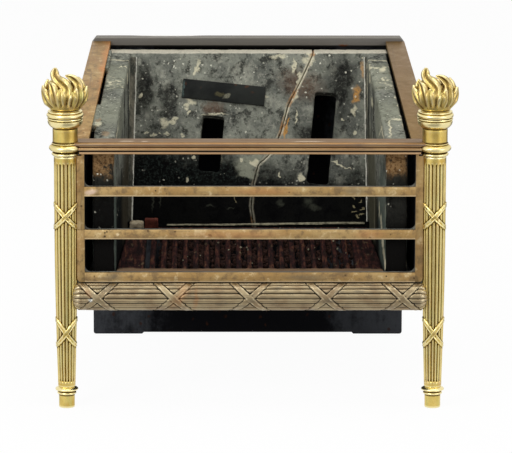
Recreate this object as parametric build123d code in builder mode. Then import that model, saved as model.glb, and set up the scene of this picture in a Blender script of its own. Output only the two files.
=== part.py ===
from build123d import *
import os
from math import atan2, cos, degrees, hypot, sin

# A free-standing fire grate. X runs to the right, Y away from the viewer and Z up.
# The origin is on the hearth, under the middle of the whole object.
# Depths are counted backwards from the upright plane through the two column axes.

os.makedirs("parts", exist_ok=True)

# Overall layout
column_spacing = 394.6
body_depth = 348.0
clearance = 0.3
seat_gap = 0.5

# Torch columns
rod_radius = 3.0
rod_nut_width = 10.0
rod_nut_height = 5.0
rod_nut_recess = 1.5
rod_foot_recess = 1.0
peg_radius = 8.65
peg_height = 14.1
foot_bead_radius = 10.6
foot_bead_height = 3.6
foot_ring_radius = 13.0
foot_ring_height = 4.8
shaft_foot_radius = 9.2
shaft_head_radius = 11.6
shaft_length = 250.5
groove_count = 16
groove_radius = 0.75
groove_plain_end = 7.5
ribbon_width = 5.0
ribbon_proud = 0.8
ribbon_tilt = 50.0
ribbon_shares = (0.24, 0.75)
ear_thickness = 3.0
neck_bead_radius = 14.8
neck_bead_height = 4.6
neck_ring_radius = 17.4
neck_ring_height = 6.9
neck_radius = 13.5
neck_height = 19.9
cup_radius = 18.3
cup_height = 8.6
cup_band_height = 2.5
cap_groove_depth = 0.9
cap_ring_radius = 19.7
cap_ring_height = 7.1

# Flame finials
flame_height = 46.8
flame_radius = 26.2
flame_base_radius = 16.0
flame_widest = 18.6
flame_belly = 23.6
flame_shoulder_radius = 16.2
flame_shoulder = 30.0
flame_core_height = 32.8
flame_socket = 10.5
flame_flutes = 9
flute_width = 5.0
flute_length = 40.2
flute_lean = 18.0
tongue_thickness = 8.0
side_tongue_ring = 18.3
side_tongue_radius = 4.6
side_tongue_height = 14.0
side_tongue_middle = 29.0
side_tongue_lean = 14.0
tall_tongue = ((-0.70, 0.57), (-0.61, 0.75), (-0.53, 0.90), (-0.41, 1.0))
tall_tongue_back = ((-0.41, 1.0), (-0.24, 0.90), (-0.24, 0.77), (-0.11, 0.62))
curled_tongue = ((0.86, 0.51), (0.75, 0.63), (0.45, 0.75), (0.04, 0.81))
curled_tongue_back = ((0.04, 0.81), (0.24, 0.71), (0.32, 0.65), (0.30, 0.55))

# Front frame: iron grid with brass facings
grid_thickness = 4.0
facing_thickness = 3.5
facing_setback = 0.5
opening_height = 36.6
bar_height = 10.2
stile_width = 8.1
stile_gap = 12.0
stile_joint_gap = 0.2
stile_corner = 4.0
corner_radius = 7.0
apron_height = 28.4
rail_to_ear = 2.8

# Moulded top rail
top_rail_depth = 24.2
top_rail_height = 12.8
top_rail_slab = 6.1
nosing_radius = 3.0
bead_radius = 2.1
moulding_fillet = 2.4
top_rail_end_gap = 9.5

# Reeded rail tied with crossed ribbons
reed_rail_radius = 12.4
reed_radius = 2.95
reed_count = 8
reed_rail_drop = 16.2
reed_end_gap = 6.8
reed_end_round = 9.0
tie_count = 5
tie_pitch = 81.8
tie_width = 7.0
tie_tilt = 36.0
tie_proud = 0.8

# Side rails and cheeks
rail_thickness = 5.0
rail_rise = 52.6
rail_front_width = 23.7
rail_back_width = 21.0
rail_outer_inset = 1.0
rail_back_inset = 0.5
cheek_thickness = 5.0
cheek_inset = 0.8
cheek_back_inset = 4.5
cheek_flange_width = 14.0
cheek_flange_thickness = 3.0
tab_thickness = 4.0
pad_depth = 13.0
pad_reach = 7.0
return_thickness = 3.0
return_reach = 8.0
ledge_thickness = 6.0
ledge_reach = 50.0

# Back plate
back_width = 356.0
back_thickness = 8.0
flange_depth = 20.0
flange_height = 8.2
flange_over_rail = 3.5
corner_cut = 5.0
corner_cut_height = 6.5
pad_width = 56.0
pad_height = 2.0
pad_round = 3.0
lug_width = 24.0
lug_height = 8.0
lug_spread = 200.0
lug_below_top = 13.0

# Fireclay liner
liner_front_inset = 51.8
liner_back_inset = 45.1
liner_thickness = 23.5
liner_front_gap = 6.0
liner_front_drop = 1.0
liner_back_drop = 9.2
back_slab_run = 69.1
back_slab_thickness = 23.0
back_slab_air_gap = 11.0
back_slab_edge_gap = 3.5
crack_width = 0.8
slot_width = 24.0
slot_lean = 5.5
left_slot_length = 63.0
left_slot_place = (-42.0, 100.5)
right_slot_length = 104.0
right_slot_place = (83.0, 106.5)
strip_length = 94.0
strip_width = 22.0
strip_thickness = 2.5
strip_tilt = -5.9
strip_place = (-28.0, 159.0)
bearer_thickness = 6.0
bearer_depth = 26.0

# Loose bottom grate and the packing pieces on it
grate_thickness = 12.0
grate_back_gap = 3.9
grate_side_gap = 1.2
grate_below_bar = 0.3
slot_count = 20
slot_pitch = 11.7
slot_gap = 5.2
grate_front_margin = 15.0
grate_back_margin = 14.0
brick_size = (15.5, 12.0, 11.0)
lump_size = (16.5, 11.0, 8.5)
packing_side_gap = 2.0

# Fasteners
screw_radius = 1.5
screw_hole_radius = 1.7
screw_head_radius = 3.0
screw_head_height = 1.6
screw_skin = 1.0
screw_spread = 150.0
bolt_radius = 2.5
bolt_hole_radius = 2.75
bolt_head_radius = 4.5
bolt_head_height = 2.5
bolt_nut_width = 8.0
bolt_nut_height = 4.0

# Levels worked out from the sizes above
half_spacing = column_spacing / 2
bore_radius = rod_radius + clearance
back_reach = body_depth + back_thickness + bolt_head_height
axis_y = (flame_radius - back_reach) / 2
shaft_low = peg_height + foot_bead_height + foot_ring_height
shaft_high = shaft_low + shaft_length
capital_low = shaft_high + ear_thickness
ring_high = capital_low + neck_bead_height + neck_ring_height
cup_low = ring_high + neck_height
band_low = cup_low + cup_height
cap_ring_low = band_low + cup_band_height
capital_high = cap_ring_low + cap_ring_height
rod_high = capital_high + flame_socket
rail_under = capital_low + rail_to_ear
rail_top_front = rail_under + top_rail_height
bar_step = opening_height + bar_height
bottom_bar_low = rail_under - 3 * bar_step
bottom_bar_high = bottom_bar_low + bar_height
grid_front = -facing_setback
grid_back = grid_front + grid_thickness
facing_front = grid_front - facing_thickness
stile_outer = half_spacing - stile_gap
stile_inner = stile_outer - stile_width
top_rail_half = half_spacing - top_rail_end_gap
reed_rail_length = 2 * (half_spacing - reed_end_gap)
top_rail_back = grid_back + 10.5
flange_front = body_depth + back_thickness - flange_depth
back_slab_head_depth = body_depth - back_slab_air_gap - back_slab_thickness
back_slab_foot_depth = back_slab_head_depth - back_slab_run
back_top = rail_top_front + rail_rise + flange_over_rail
ledge_top = bottom_bar_high - grate_below_bar - grate_thickness - clearance
slab_foot = ledge_top + bearer_thickness
slab_head = rail_top_front + rail_rise - liner_back_drop
rake_slope = back_slab_run / (slab_head - slab_foot)
slab_length = hypot(back_slab_run, slab_head - slab_foot)
rail_slope = rail_rise / (flange_front - top_rail_back)


def at(depth):
    """Y coordinate of a depth behind the column axes."""
    return axis_y + depth


def front_plane(depth):
    """Upright plane at a depth, facing the viewer, drawn in X and Z."""
    return Plane.XZ.offset(-at(depth))


def between(depth, near, far, near_value, far_value):
    """Straight-line value at a depth, from two known depths."""
    return near_value + (far_value - near_value) * (depth - near) / (far - near)


def rail_top(depth):
    """Height of the sloping side rails' top face."""
    return rail_top_front + rail_slope * (depth - top_rail_back)


def rail_inner(depth):
    front = half_spacing - rail_outer_inset - rail_front_width
    back = back_width / 2 - rail_back_inset - rail_back_width
    return between(depth, top_rail_back, flange_front, front, back)


def rail_outer(depth):
    front = half_spacing - rail_outer_inset
    back = back_width / 2 - rail_back_inset
    return between(depth, top_rail_back, flange_front, front, back)


def cheek_inner(depth):
    """Half width between the cheeks' inner faces."""
    front = stile_inner + cheek_inset
    back = rail_inner(flange_front) + cheek_back_inset
    return between(depth, grid_back, body_depth, front, back)


def liner_inner(depth):
    """Half width between the fireclay side slabs, set in from the columns and the back plate."""
    front, back = half_spacing - liner_front_inset, back_width / 2 - liner_back_inset
    return between(depth, liner_front_gap, back_slab_head_depth, front, back)


def liner_top(depth):
    """Height of the side slabs' sloping tops."""
    front = rail_top_front - liner_front_drop
    return between(depth, top_rail_back, back_slab_head_depth, front, slab_head)


def slab_face(height):
    """Depth of the raked back slab's front face at a height."""
    return back_slab_foot_depth + rake_slope * (height - slab_foot)


slab_plane = Plane(
    origin=(0, at(back_slab_foot_depth), slab_foot),
    x_dir=(1, 0, 0),
    z_dir=(0, -cos(atan2(rake_slope, 1)), sin(atan2(rake_slope, 1))),
)


def keep(builder, name):
    """Label a finished piece and write it out."""
    builder.part.label = name
    export_step(builder.part, f"parts/{name}.step")


def turned(x, low, steps, bore=bore_radius):
    """A turned piece: each step is a straight (radius, height) or a bead (radius, height, crest)."""
    with BuildPart() as piece:
        with BuildSketch(Plane(origin=(x, axis_y, 0), x_dir=(1, 0, 0), z_dir=(0, -1, 0))):
            with BuildLine():
                here = (steps[0][0], low)
                Line((bore, low), here)
                for step in steps[1:]:
                    there = (step[0], step[1])
                    if len(step) == 3:
                        middle = (step[2], (here[1] + there[1]) / 2)
                        ThreePointArc(here, middle, there)
                    else:
                        Line(here, there)
                    here = there
                Line(here, (bore, here[1]))
                Line((bore, here[1]), (bore, low))
            make_face()
        revolve(axis=Axis((x, axis_y, 0), (0, 0, 1)))
    return piece


def upright(x, radius, low, high, mode=Mode.ADD):
    """A plain cylinder standing on a column axis."""
    with Locations((x, axis_y, (low + high) / 2)):
        return Cylinder(radius, high - low, mode=mode)


def front_box(x0, x1, depth0, depth1, z0, z1, mode=Mode.ADD):
    """A box given by its corners, with its depth counted from the column axes."""
    middle = ((x0 + x1) / 2, at((depth0 + depth1) / 2), (z0 + z1) / 2)
    with Locations(middle):
        return Box(abs(x1 - x0), abs(depth1 - depth0), abs(z1 - z0), mode=mode)


def pins(places, radius, depth0, depth1, mode=Mode.ADD):
    """Round pins or holes along Y, at (x, z) places."""
    with BuildSketch(front_plane(depth0)) as outline:
        with Locations(*places):
            Circle(radius)
    extrude(outline.sketch, amount=-(depth1 - depth0), mode=mode)


def hexagons(places, width, depth0, depth1):
    """Hexagonal nuts along Y, at (x, z) places."""
    with BuildSketch(front_plane(depth0)) as outline:
        with Locations(*places):
            RegularPolygon(width / 2, 6, major_radius=False)
    extrude(outline.sketch, amount=-(depth1 - depth0))


# Columns: foot, shaft, capital and flame threaded on one rod
def crossed_ribbons(x, proud_foot, proud_head):
    """Bands that cross on the front and back of a tapering shaft."""
    with BuildPart() as bands:
        with BuildSketch(front_plane(0)):
            for share in ribbon_shares:
                level = shaft_low + share * shaft_length
                for tilt in (-ribbon_tilt, ribbon_tilt):
                    with Locations((x, level)):
                        Rectangle(6 * shaft_head_radius, ribbon_width, rotation=tilt)
        extrude(amount=2 * shaft_head_radius, both=True)
        with BuildSketch(Plane(origin=(x, axis_y, 0), x_dir=(1, 0, 0), z_dir=(0, -1, 0))):
            Polygon(
                (0, shaft_low), (proud_foot, shaft_low), (proud_head, shaft_high), (0, shaft_high),
                align=None,
            )
        revolve(axis=Axis((x, axis_y, 0), (0, 0, 1)), mode=Mode.INTERSECT)
    return bands


groove_low = shaft_low + groove_plain_end
groove_high = shaft_high - groove_plain_end
shaft_taper = degrees(atan2(shaft_head_radius - shaft_foot_radius, shaft_length))

for side, tag in ((-1, "left"), (1, "right")):
    x = side * half_spacing

    bead_high = peg_height + foot_bead_height
    foot = turned(
        x, 0.0,
        [
            (peg_radius - clearance, 0.0),
            (peg_radius, 2 * clearance),
            (peg_radius, peg_height),
            (peg_radius, bead_high, foot_bead_radius),
            (shaft_foot_radius, bead_high),
            (shaft_foot_radius, shaft_low, foot_ring_radius),
        ],
    )
    with BuildPart() as foot_hollow:
        add(foot.part)
        upright(x, rod_nut_width / 2 + rod_foot_recess, 0, rod_nut_recess + rod_nut_height,
                mode=Mode.SUBTRACT)
    keep(foot_hollow, f"foot_{tag}")

    bands = crossed_ribbons(x, shaft_foot_radius + ribbon_proud, shaft_head_radius + ribbon_proud)
    with BuildPart() as shaft:
        add(turned(x, shaft_low, [(shaft_foot_radius, shaft_low), (shaft_head_radius, shaft_high)]).part)
        with Locations((x, axis_y, (groove_low + groove_high) / 2)):
            with PolarLocations((shaft_foot_radius + shaft_head_radius) / 2, groove_count,
                                start_angle=-90):
                with Locations(Location((0, 0, 0), (0, shaft_taper, 0))):
                    Cylinder(groove_radius, groove_high - groove_low, mode=Mode.SUBTRACT)
        add(bands.part)
        upright(x, bore_radius, shaft_low, shaft_high, mode=Mode.SUBTRACT)
    keep(shaft, f"shaft_{tag}")

    capital = turned(
        x, capital_low,
        [
            (neck_radius, capital_low),
            (neck_radius, capital_low + neck_bead_height, neck_bead_radius),
            (neck_radius, ring_high, neck_ring_radius),
            (neck_radius, cup_low),
            (cup_radius, band_low, (neck_radius + cup_radius) / 2 + 1.0),
            (cup_radius, cap_ring_low),
            (cup_radius - cap_groove_depth, cap_ring_low + clearance),
            (cup_radius - cap_groove_depth, capital_high, cap_ring_radius),
        ],
    )
    keep(capital, f"capital_{tag}")

    rod = turned(x, rod_foot_recess, [(rod_radius, rod_foot_recess), (rod_radius, rod_high)], bore=0)
    keep(rod, f"rod_{tag}")


def flame_points(shares):
    """Points of a tongue, given as shares of the flame's radius and height."""
    return [(px * flame_radius, pz * flame_height) for px, pz in shares]


for side, tag in ((-1, "left"), (1, "right")):
    x = side * half_spacing
    flame_frame = Plane(origin=(x, axis_y, capital_high), x_dir=(1, 0, 0), z_dir=(0, -1, 0))
    with BuildPart() as flame:
        with BuildSketch(flame_frame):
            with BuildLine():
                Line((0, 0), (flame_base_radius, 0))
                ThreePointArc(
                    (flame_base_radius, 0),
                    (flame_belly, flame_widest / 2),
                    (flame_radius, flame_widest),
                )
                ThreePointArc(
                    (flame_radius, flame_widest),
                    ((flame_radius + flame_shoulder_radius) / 2 + 1.3, (flame_widest + flame_shoulder) / 2),
                    (flame_shoulder_radius, flame_shoulder),
                )
                Line((flame_shoulder_radius, flame_shoulder), (0, flame_core_height))
                Line((0, flame_core_height), (0, 0))
            make_face()
        revolve(axis=Axis((x, axis_y, 0), (0, 0, 1)))
        with Locations((x, axis_y, capital_high)):
            with PolarLocations(flame_radius, flame_flutes, start_angle=-70):
                with Locations(Location((0, 0, flame_height / 2), (flute_lean, 0, 45))):
                    Box(flute_width, flute_width, flute_length, mode=Mode.SUBTRACT)
        # The ring of side tongues, whose tips stand round the bulb's shoulder
        with Locations((x, axis_y, capital_high)):
            with PolarLocations(side_tongue_ring, flame_flutes, start_angle=-50):
                with Locations(Location((0, 0, side_tongue_middle), (0, -side_tongue_lean, 0))):
                    Cone(side_tongue_radius, side_tongue_radius / 9, side_tongue_height)
        # Tall tongue on the left and the tongue that curls in from the right
        for outer, inner in ((tall_tongue, tall_tongue_back), (curled_tongue, curled_tongue_back)):
            outer_edge = flame_points(outer)
            inner_edge = flame_points(inner)
            with BuildSketch(flame_frame):
                with BuildLine():
                    Spline(*outer_edge)
                    Spline(*inner_edge)
                    Line(inner_edge[-1], outer_edge[0])
                make_face()
            extrude(amount=tongue_thickness / 2, both=True)
        upright(x, bore_radius, capital_high, rod_high + clearance, mode=Mode.SUBTRACT)
    keep(flame, f"flame_{tag}")

with BuildPart() as rod_nuts:
    for side in (-1, 1):
        with BuildSketch(Plane.XY.offset(rod_nut_recess)):
            with Locations((side * half_spacing, axis_y)):
                RegularPolygon(rod_nut_width / 2, 6, major_radius=False)
                Circle(bore_radius, mode=Mode.SUBTRACT)
        extrude(amount=rod_nut_height)
keep(rod_nuts, "rod_nuts")


# Front frame
bar_lows = [bottom_bar_low + n * bar_step for n in range(3)]
bar_names = ("bottom_bar", "bar_lower", "bar_upper")
screw_xs = (-screw_spread, 0.0, screw_spread)
bar_screws = [(sx, low + bar_height / 2) for sx in screw_xs for low in bar_lows]
top_screws = [(sx, rail_under + bead_radius + 1.5) for sx in screw_xs]
reed_centre = bottom_bar_low - reed_rail_drop
reed_screws = [(0.8 * sx, reed_centre) for sx in screw_xs]
cheek_stud_x = stile_inner + cheek_inset + pad_reach / 2
cheek_stud_zs = (bar_lows[0] + bar_step / 2, bar_lows[2] + 0.6 * bar_step)
cheek_studs_at = [(side * cheek_stud_x, z) for side in (-1, 1) for z in cheek_stud_zs]
apron_low = bottom_bar_low - apron_height
grid_high = rail_top_front - top_rail_slab
lug_low = apron_low + apron_height + 4.0
lug_high = lug_low + 12.0
lug_mid = (lug_low + lug_high) / 2
lug_shaft_radius = between(lug_mid, shaft_low, shaft_high, shaft_foot_radius, shaft_head_radius)
lug_front = lug_shaft_radius + ribbon_proud + clearance
ring_clear = neck_ring_radius + clearance

with BuildPart() as iron_grid:
    with BuildSketch(front_plane(grid_front)):
        with Locations((0, (apron_low + grid_high) / 2)):
            Rectangle(2 * stile_outer - 2 * clearance, grid_high - apron_low)
        for low in bar_lows:
            opening_mid = low + bar_height + opening_height / 2
            with Locations((0, opening_mid)):
                Rectangle(2 * stile_inner, opening_height, mode=Mode.SUBTRACT)
        # Iron left in the lower corners of each opening
        for low in bar_lows:
            for side in (-1, 1):
                corner = (side * stile_inner, low + bar_height)
                with BuildLine():
                    Line(corner, (corner[0], corner[1] + corner_radius))
                    RadiusArc(
                        (corner[0], corner[1] + corner_radius),
                        (corner[0] - side * corner_radius, corner[1]),
                        side * corner_radius,
                    )
                    Line((corner[0] - side * corner_radius, corner[1]), corner)
                make_face()
    extrude(amount=-grid_thickness)
    for side in (-1, 1):
        x = side * half_spacing
        # Ear trapped between the shaft and the capital
        upright(x, shaft_head_radius + seat_gap, shaft_high, capital_low)
        front_box(x, side * (stile_outer - 1), grid_front, grid_back, shaft_high, capital_low)
        # Lug that reaches behind the shaft for the fixing screw
        front_box(side * (stile_outer - 3 - clearance), side * (stile_outer - clearance),
                  grid_back, lug_front + 3, lug_low, lug_high)
        front_box(side * (stile_outer - 3 - clearance), x + side * 7,
                  lug_front, lug_front + 3, lug_low, lug_high)
        upright(x, ring_clear, capital_low, rail_top_front, mode=Mode.SUBTRACT)
        upright(x, bore_radius, shaft_high - 1, capital_low + 1, mode=Mode.SUBTRACT)
    pins([(side * half_spacing, lug_mid) for side in (-1, 1)], screw_hole_radius + clearance,
         lug_front - 1, lug_front + 4, mode=Mode.SUBTRACT)
    pins(bar_screws + top_screws + reed_screws + cheek_studs_at, screw_hole_radius,
         grid_front - 1, grid_back + 1, mode=Mode.SUBTRACT)
keep(iron_grid, "iron_grid")

screw_tip = facing_front + screw_skin
stud_end = grid_back + pad_depth - 3
for low, name in zip(bar_lows, bar_names):
    with BuildPart() as bar:
        front_box(-stile_inner, stile_inner, facing_front, grid_front, low, low + bar_height)
        pins([(sx, low + bar_height / 2) for sx in screw_xs], screw_hole_radius,
             screw_tip - clearance, grid_front, mode=Mode.SUBTRACT)
    keep(bar, name)


def stile(side, low, high, name):
    """A facing strip beside a column, tapped for the cheek screws."""
    with BuildPart() as strip:
        front_box(side * stile_inner, side * stile_outer, facing_front, grid_front, low, high)
        if low == bottom_bar_low:
            foot_edges = strip.edges().filter_by(Axis.Y).group_by(Axis.Z)[0].sort_by(Axis.X)
            fillet(foot_edges[-1 if side > 0 else 0], radius=min(stile_corner, 0.9 * stile_width))
        pins([p for p in cheek_studs_at if p[0] * side > 0 and low < p[1] < high],
             screw_hole_radius, screw_tip - clearance, grid_front, mode=Mode.SUBTRACT)
        upright(side * half_spacing, shaft_head_radius + 2 * seat_gap, shaft_high - clearance,
                capital_low, mode=Mode.SUBTRACT)
        upright(side * half_spacing, ring_clear, capital_low, rail_under + 1, mode=Mode.SUBTRACT)
    keep(strip, name)


joint_level = bar_lows[1] + bar_height
stile(-1, bottom_bar_low, joint_level - stile_joint_gap, "stile_left_lower")
stile(-1, joint_level, rail_under, "stile_left_upper")
stile(1, bottom_bar_low, rail_under, "stile_right")

# Moulded top rail: flat top, rounded nosing, groove, bead and fillet
nosing_front = top_rail_back - top_rail_depth
bead_front = nosing_front + 1.6
bead_low = rail_under + moulding_fillet + 0.8
bead_high = bead_low + 2 * bead_radius
with BuildPart() as top_rail:
    with BuildSketch(Plane.YZ):
        with BuildLine():
            Line((at(top_rail_back), rail_top_front), (at(nosing_front + nosing_radius), rail_top_front))
            RadiusArc(
                (at(nosing_front + nosing_radius), rail_top_front),
                (at(nosing_front), rail_top_front - nosing_radius),
                -nosing_radius,
            )
            Polyline(
                (at(nosing_front), rail_top_front - nosing_radius),
                (at(nosing_front), bead_high + 1.0),
                (at(bead_front), bead_high + 0.6),
                (at(bead_front), bead_high),
            )
            ThreePointArc(
                (at(bead_front), bead_high),
                (at(bead_front - bead_radius), bead_high - bead_radius),
                (at(bead_front), bead_low),
            )
            Polyline(
                (at(bead_front), bead_low),
                (at(bead_front), rail_under + moulding_fillet),
                (at(nosing_front + 1.0), rail_under + moulding_fillet),
                (at(nosing_front + 1.0), rail_under),
                (at(grid_front), rail_under),
                (at(grid_front), grid_high),
                (at(top_rail_back), grid_high),
                (at(top_rail_back), rail_top_front),
            )
        make_face()
    extrude(amount=top_rail_half, both=True)
    # Ends scribed round the capitals
    for side in (-1, 1):
        upright(side * half_spacing, ring_clear, capital_low, ring_high + clearance,
                mode=Mode.SUBTRACT)
        upright(side * half_spacing, neck_radius + clearance, ring_high, rail_top_front + 1,
                mode=Mode.SUBTRACT)
    pins(top_screws, screw_hole_radius, screw_tip - clearance, grid_front, mode=Mode.SUBTRACT)
keep(top_rail, "top_rail")

# Reeded rail with domed ends and five crossed ribbons
reed_step = 180.0 / reed_count
tie_xs = [(n - (tie_count - 1) / 2) * tie_pitch for n in range(tie_count)]
reed_reach = reed_rail_radius + reed_radius


def half_round(radius):
    """Half disc in front of the grid, drawn in Y and Z."""
    Circle(radius)
    Rectangle(2 * radius, 3 * radius, align=(Align.MIN, Align.CENTER), mode=Mode.SUBTRACT)


with BuildPart() as ties:
    with BuildSketch(front_plane(grid_front)):
        for tie_x in tie_xs:
            for tilt in (-tie_tilt, tie_tilt):
                with Locations((tie_x, reed_centre)):
                    Rectangle(4 * reed_reach, tie_width, rotation=tilt)
    extrude(amount=2 * reed_reach)
    with BuildSketch(Plane.YZ):
        with Locations((at(grid_front), reed_centre)):
            half_round(reed_reach + tie_proud)
    extrude(amount=reed_rail_length, both=True, mode=Mode.INTERSECT)

with BuildPart() as reeded_rail:
    with BuildSketch(Plane.YZ):
        with Locations((at(grid_front), reed_centre)):
            Circle(reed_rail_radius)
            with PolarLocations(reed_rail_radius, reed_count, start_angle=90 + reed_step / 2,
                                angular_range=180 - reed_step, endpoint=True):
                Circle(reed_radius)
            Rectangle(2 * reed_reach, 4 * reed_reach, align=(Align.MIN, Align.CENTER),
                      mode=Mode.SUBTRACT)
    extrude(amount=reed_rail_length / 2, both=True)
    add(ties.part)
    with BuildSketch(Plane.XY):
        with Locations((0, at(grid_front - reed_reach / 2))):
            RectangleRounded(reed_rail_length, reed_reach + 2 * tie_proud, 0.42 * reed_reach)
        with Locations((0, at(grid_front - reed_reach / 4))):
            Rectangle(reed_rail_length - reed_end_round, reed_reach / 2)
        with Locations((0, at(grid_front - reed_reach / 2))):
            Rectangle(reed_rail_length - 2 * reed_end_round, 2 * reed_reach)
    extrude(amount=2 * reed_centre, mode=Mode.INTERSECT)
    with BuildSketch(front_plane(grid_front)):
        with Locations((0, reed_centre)):
            RectangleRounded(reed_rail_length, 2 * (reed_reach + tie_proud), reed_end_round)
    extrude(amount=3 * reed_reach, mode=Mode.INTERSECT)
    for side in (-1, 1):
        upright(side * half_spacing, shaft_foot_radius + 1.7 + clearance, apron_low - 10,
                bottom_bar_low, mode=Mode.SUBTRACT)
    pins(reed_screws, screw_hole_radius, grid_front - 5, grid_front, mode=Mode.SUBTRACT)
keep(reeded_rail, "reeded_rail")


# Cheeks, side rails and back plate
def sloping_band(top_offset, thickness, depth0, depth1):
    """A band parallel to the side rails, as a sketch in Y and Z."""
    with BuildSketch(Plane.YZ) as outline:
        Polygon(
            (at(depth0), rail_top(depth0) - top_offset),
            (at(depth1), rail_top(depth1) - top_offset),
            (at(depth1), rail_top(depth1) - top_offset - thickness),
            (at(depth0), rail_top(depth0) - top_offset - thickness),
            align=None,
        )
    extrude(outline.sketch, amount=half_spacing + 5)


def plan_shape(corners, mode):
    """A prism over a plan outline, given as (x, depth) corners."""
    with BuildSketch(Plane.XY) as outline:
        Polygon(*[(cx, at(depth)) for cx, depth in corners], align=None)
    extrude(outline.sketch, amount=2 * back_top, mode=mode)


def flange_point(depth):
    """Middle of the cheek's top flange."""
    return cheek_inner(depth) + cheek_thickness + (cheek_flange_width - cheek_thickness) / 2


def rail_screw_planes():
    """Planes on the side rail's underside, square to its slope."""
    planes = []
    for share in (0.14, 0.5, 0.86):
        depth = between(share, 0, 1, top_rail_back, flange_front)
        planes.append(
            Plane(
                origin=(flange_point(depth), at(depth), rail_top(depth) - rail_thickness),
                x_dir=(1, 0, 0),
                z_dir=(0, -sin(atan2(rail_slope, 1)), cos(atan2(rail_slope, 1))),
            )
        )
    return planes


def on_rail_planes(radius, low, high, mode=Mode.ADD):
    """Round pins square to the side rail, from low to high above its underside."""
    for plane in rail_screw_planes():
        with BuildSketch(plane.offset(low)) as outline:
            Circle(radius)
        extrude(outline.sketch, amount=high - low, mode=mode)


back_bolt_x = cheek_inner(body_depth) + cheek_thickness + 6.5
back_bolts_at = [
    (side * back_bolt_x, z) for side in (-1, 1) for z in (ledge_top + 40, rail_top_front + 5)
]
web_low = ledge_top - ledge_thickness
flange_start = neck_ring_radius + 2 * seat_gap

with BuildPart() as cheek_web:
    sloping_band(rail_thickness, 2 * back_top, grid_back, body_depth)
    with BuildSketch(Plane.XY.offset(web_low)):
        Polygon(
            (cheek_inner(grid_back), at(grid_back)),
            (cheek_inner(body_depth), at(body_depth)),
            (cheek_inner(body_depth) + cheek_thickness, at(body_depth)),
            (cheek_inner(grid_back) + cheek_thickness, at(grid_back)),
            align=None,
        )
    extrude(amount=back_top - flange_height - web_low, mode=Mode.INTERSECT)
    front_box(stile_inner - 5, half_spacing, grid_front, top_rail_back, grid_high, back_top,
              mode=Mode.SUBTRACT)

with BuildPart() as cheek_flange:
    sloping_band(rail_thickness, cheek_flange_thickness, flange_start, flange_front)
    plan_shape(
        [
            (cheek_inner(flange_start), flange_start),
            (cheek_inner(flange_front), flange_front),
            (cheek_inner(flange_front) + cheek_flange_width, flange_front),
            (cheek_inner(flange_start) + cheek_flange_width, flange_start),
        ],
        Mode.INTERSECT,
    )

ledge_inner = cheek_inner(grid_back) - ledge_reach
tab_high = shaft_high - 1.0
pad_outer = cheek_inner(grid_back) + pad_reach
pad_back = grid_back + pad_depth
with BuildPart() as cheek_right:
    add(cheek_web.part)
    add(cheek_flange.part)
    with BuildSketch(Plane.XY.offset(web_low)):
        Polygon(
            (ledge_inner, at(grid_back)),
            (cheek_inner(grid_back) + 1, at(grid_back)),
            (cheek_inner(body_depth) + 1, at(body_depth)),
            (ledge_inner, at(body_depth)),
            align=None,
        )
    extrude(amount=ledge_thickness)
    front_box(cheek_inner(grid_back) + 0.5, pad_outer, grid_back, pad_back, web_low, tab_high)
    # Thin return that closes the slit between the shaft and the front frame
    front_box(pad_outer - 1, pad_outer + return_reach, pad_back - return_thickness, pad_back,
              web_low, tab_high)
    front_box(cheek_inner(body_depth) + 1, back_bolt_x + bolt_head_radius,
              body_depth - tab_thickness, body_depth, web_low, rail_top_front + 15)
    front_box(stile_outer - 4, half_spacing, grid_back, pad_back + 1, lug_low - 1, lug_high + 1,
              mode=Mode.SUBTRACT)
    upright(half_spacing, ring_clear + clearance, capital_low - seat_gap, rail_top_front,
            mode=Mode.SUBTRACT)
    on_rail_planes(screw_hole_radius, -cheek_flange_thickness - 1, 1, mode=Mode.SUBTRACT)
    pins([p for p in cheek_studs_at if p[0] > 0], screw_hole_radius, grid_back - 1,
         stud_end + clearance, mode=Mode.SUBTRACT)
    pins([p for p in back_bolts_at if p[0] > 0], bolt_hole_radius,
         body_depth - tab_thickness - 1, body_depth + 1, mode=Mode.SUBTRACT)
keep(cheek_right, "cheek_right")

with BuildPart() as cheek_left:
    mirror(cheek_right.part, about=Plane.YZ)
keep(cheek_left, "cheek_left")

with BuildPart() as rail_right:
    sloping_band(0, rail_thickness, top_rail_back, flange_front)
    plan_shape(
        [
            (rail_inner(top_rail_back), top_rail_back),
            (rail_inner(flange_front), flange_front),
            (rail_outer(flange_front), flange_front),
            (rail_outer(top_rail_back), top_rail_back),
        ],
        Mode.INTERSECT,
    )
    upright(half_spacing, ring_clear, capital_low, ring_high + clearance, mode=Mode.SUBTRACT)
    upright(half_spacing, neck_radius + clearance, ring_high, cup_low, mode=Mode.SUBTRACT)
    on_rail_planes(screw_hole_radius, -1, rail_thickness - screw_skin, mode=Mode.SUBTRACT)
keep(rail_right, "side_rail_right")

with BuildPart() as rail_left:
    mirror(rail_right.part, about=Plane.YZ)
keep(rail_left, "side_rail_left")

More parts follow.
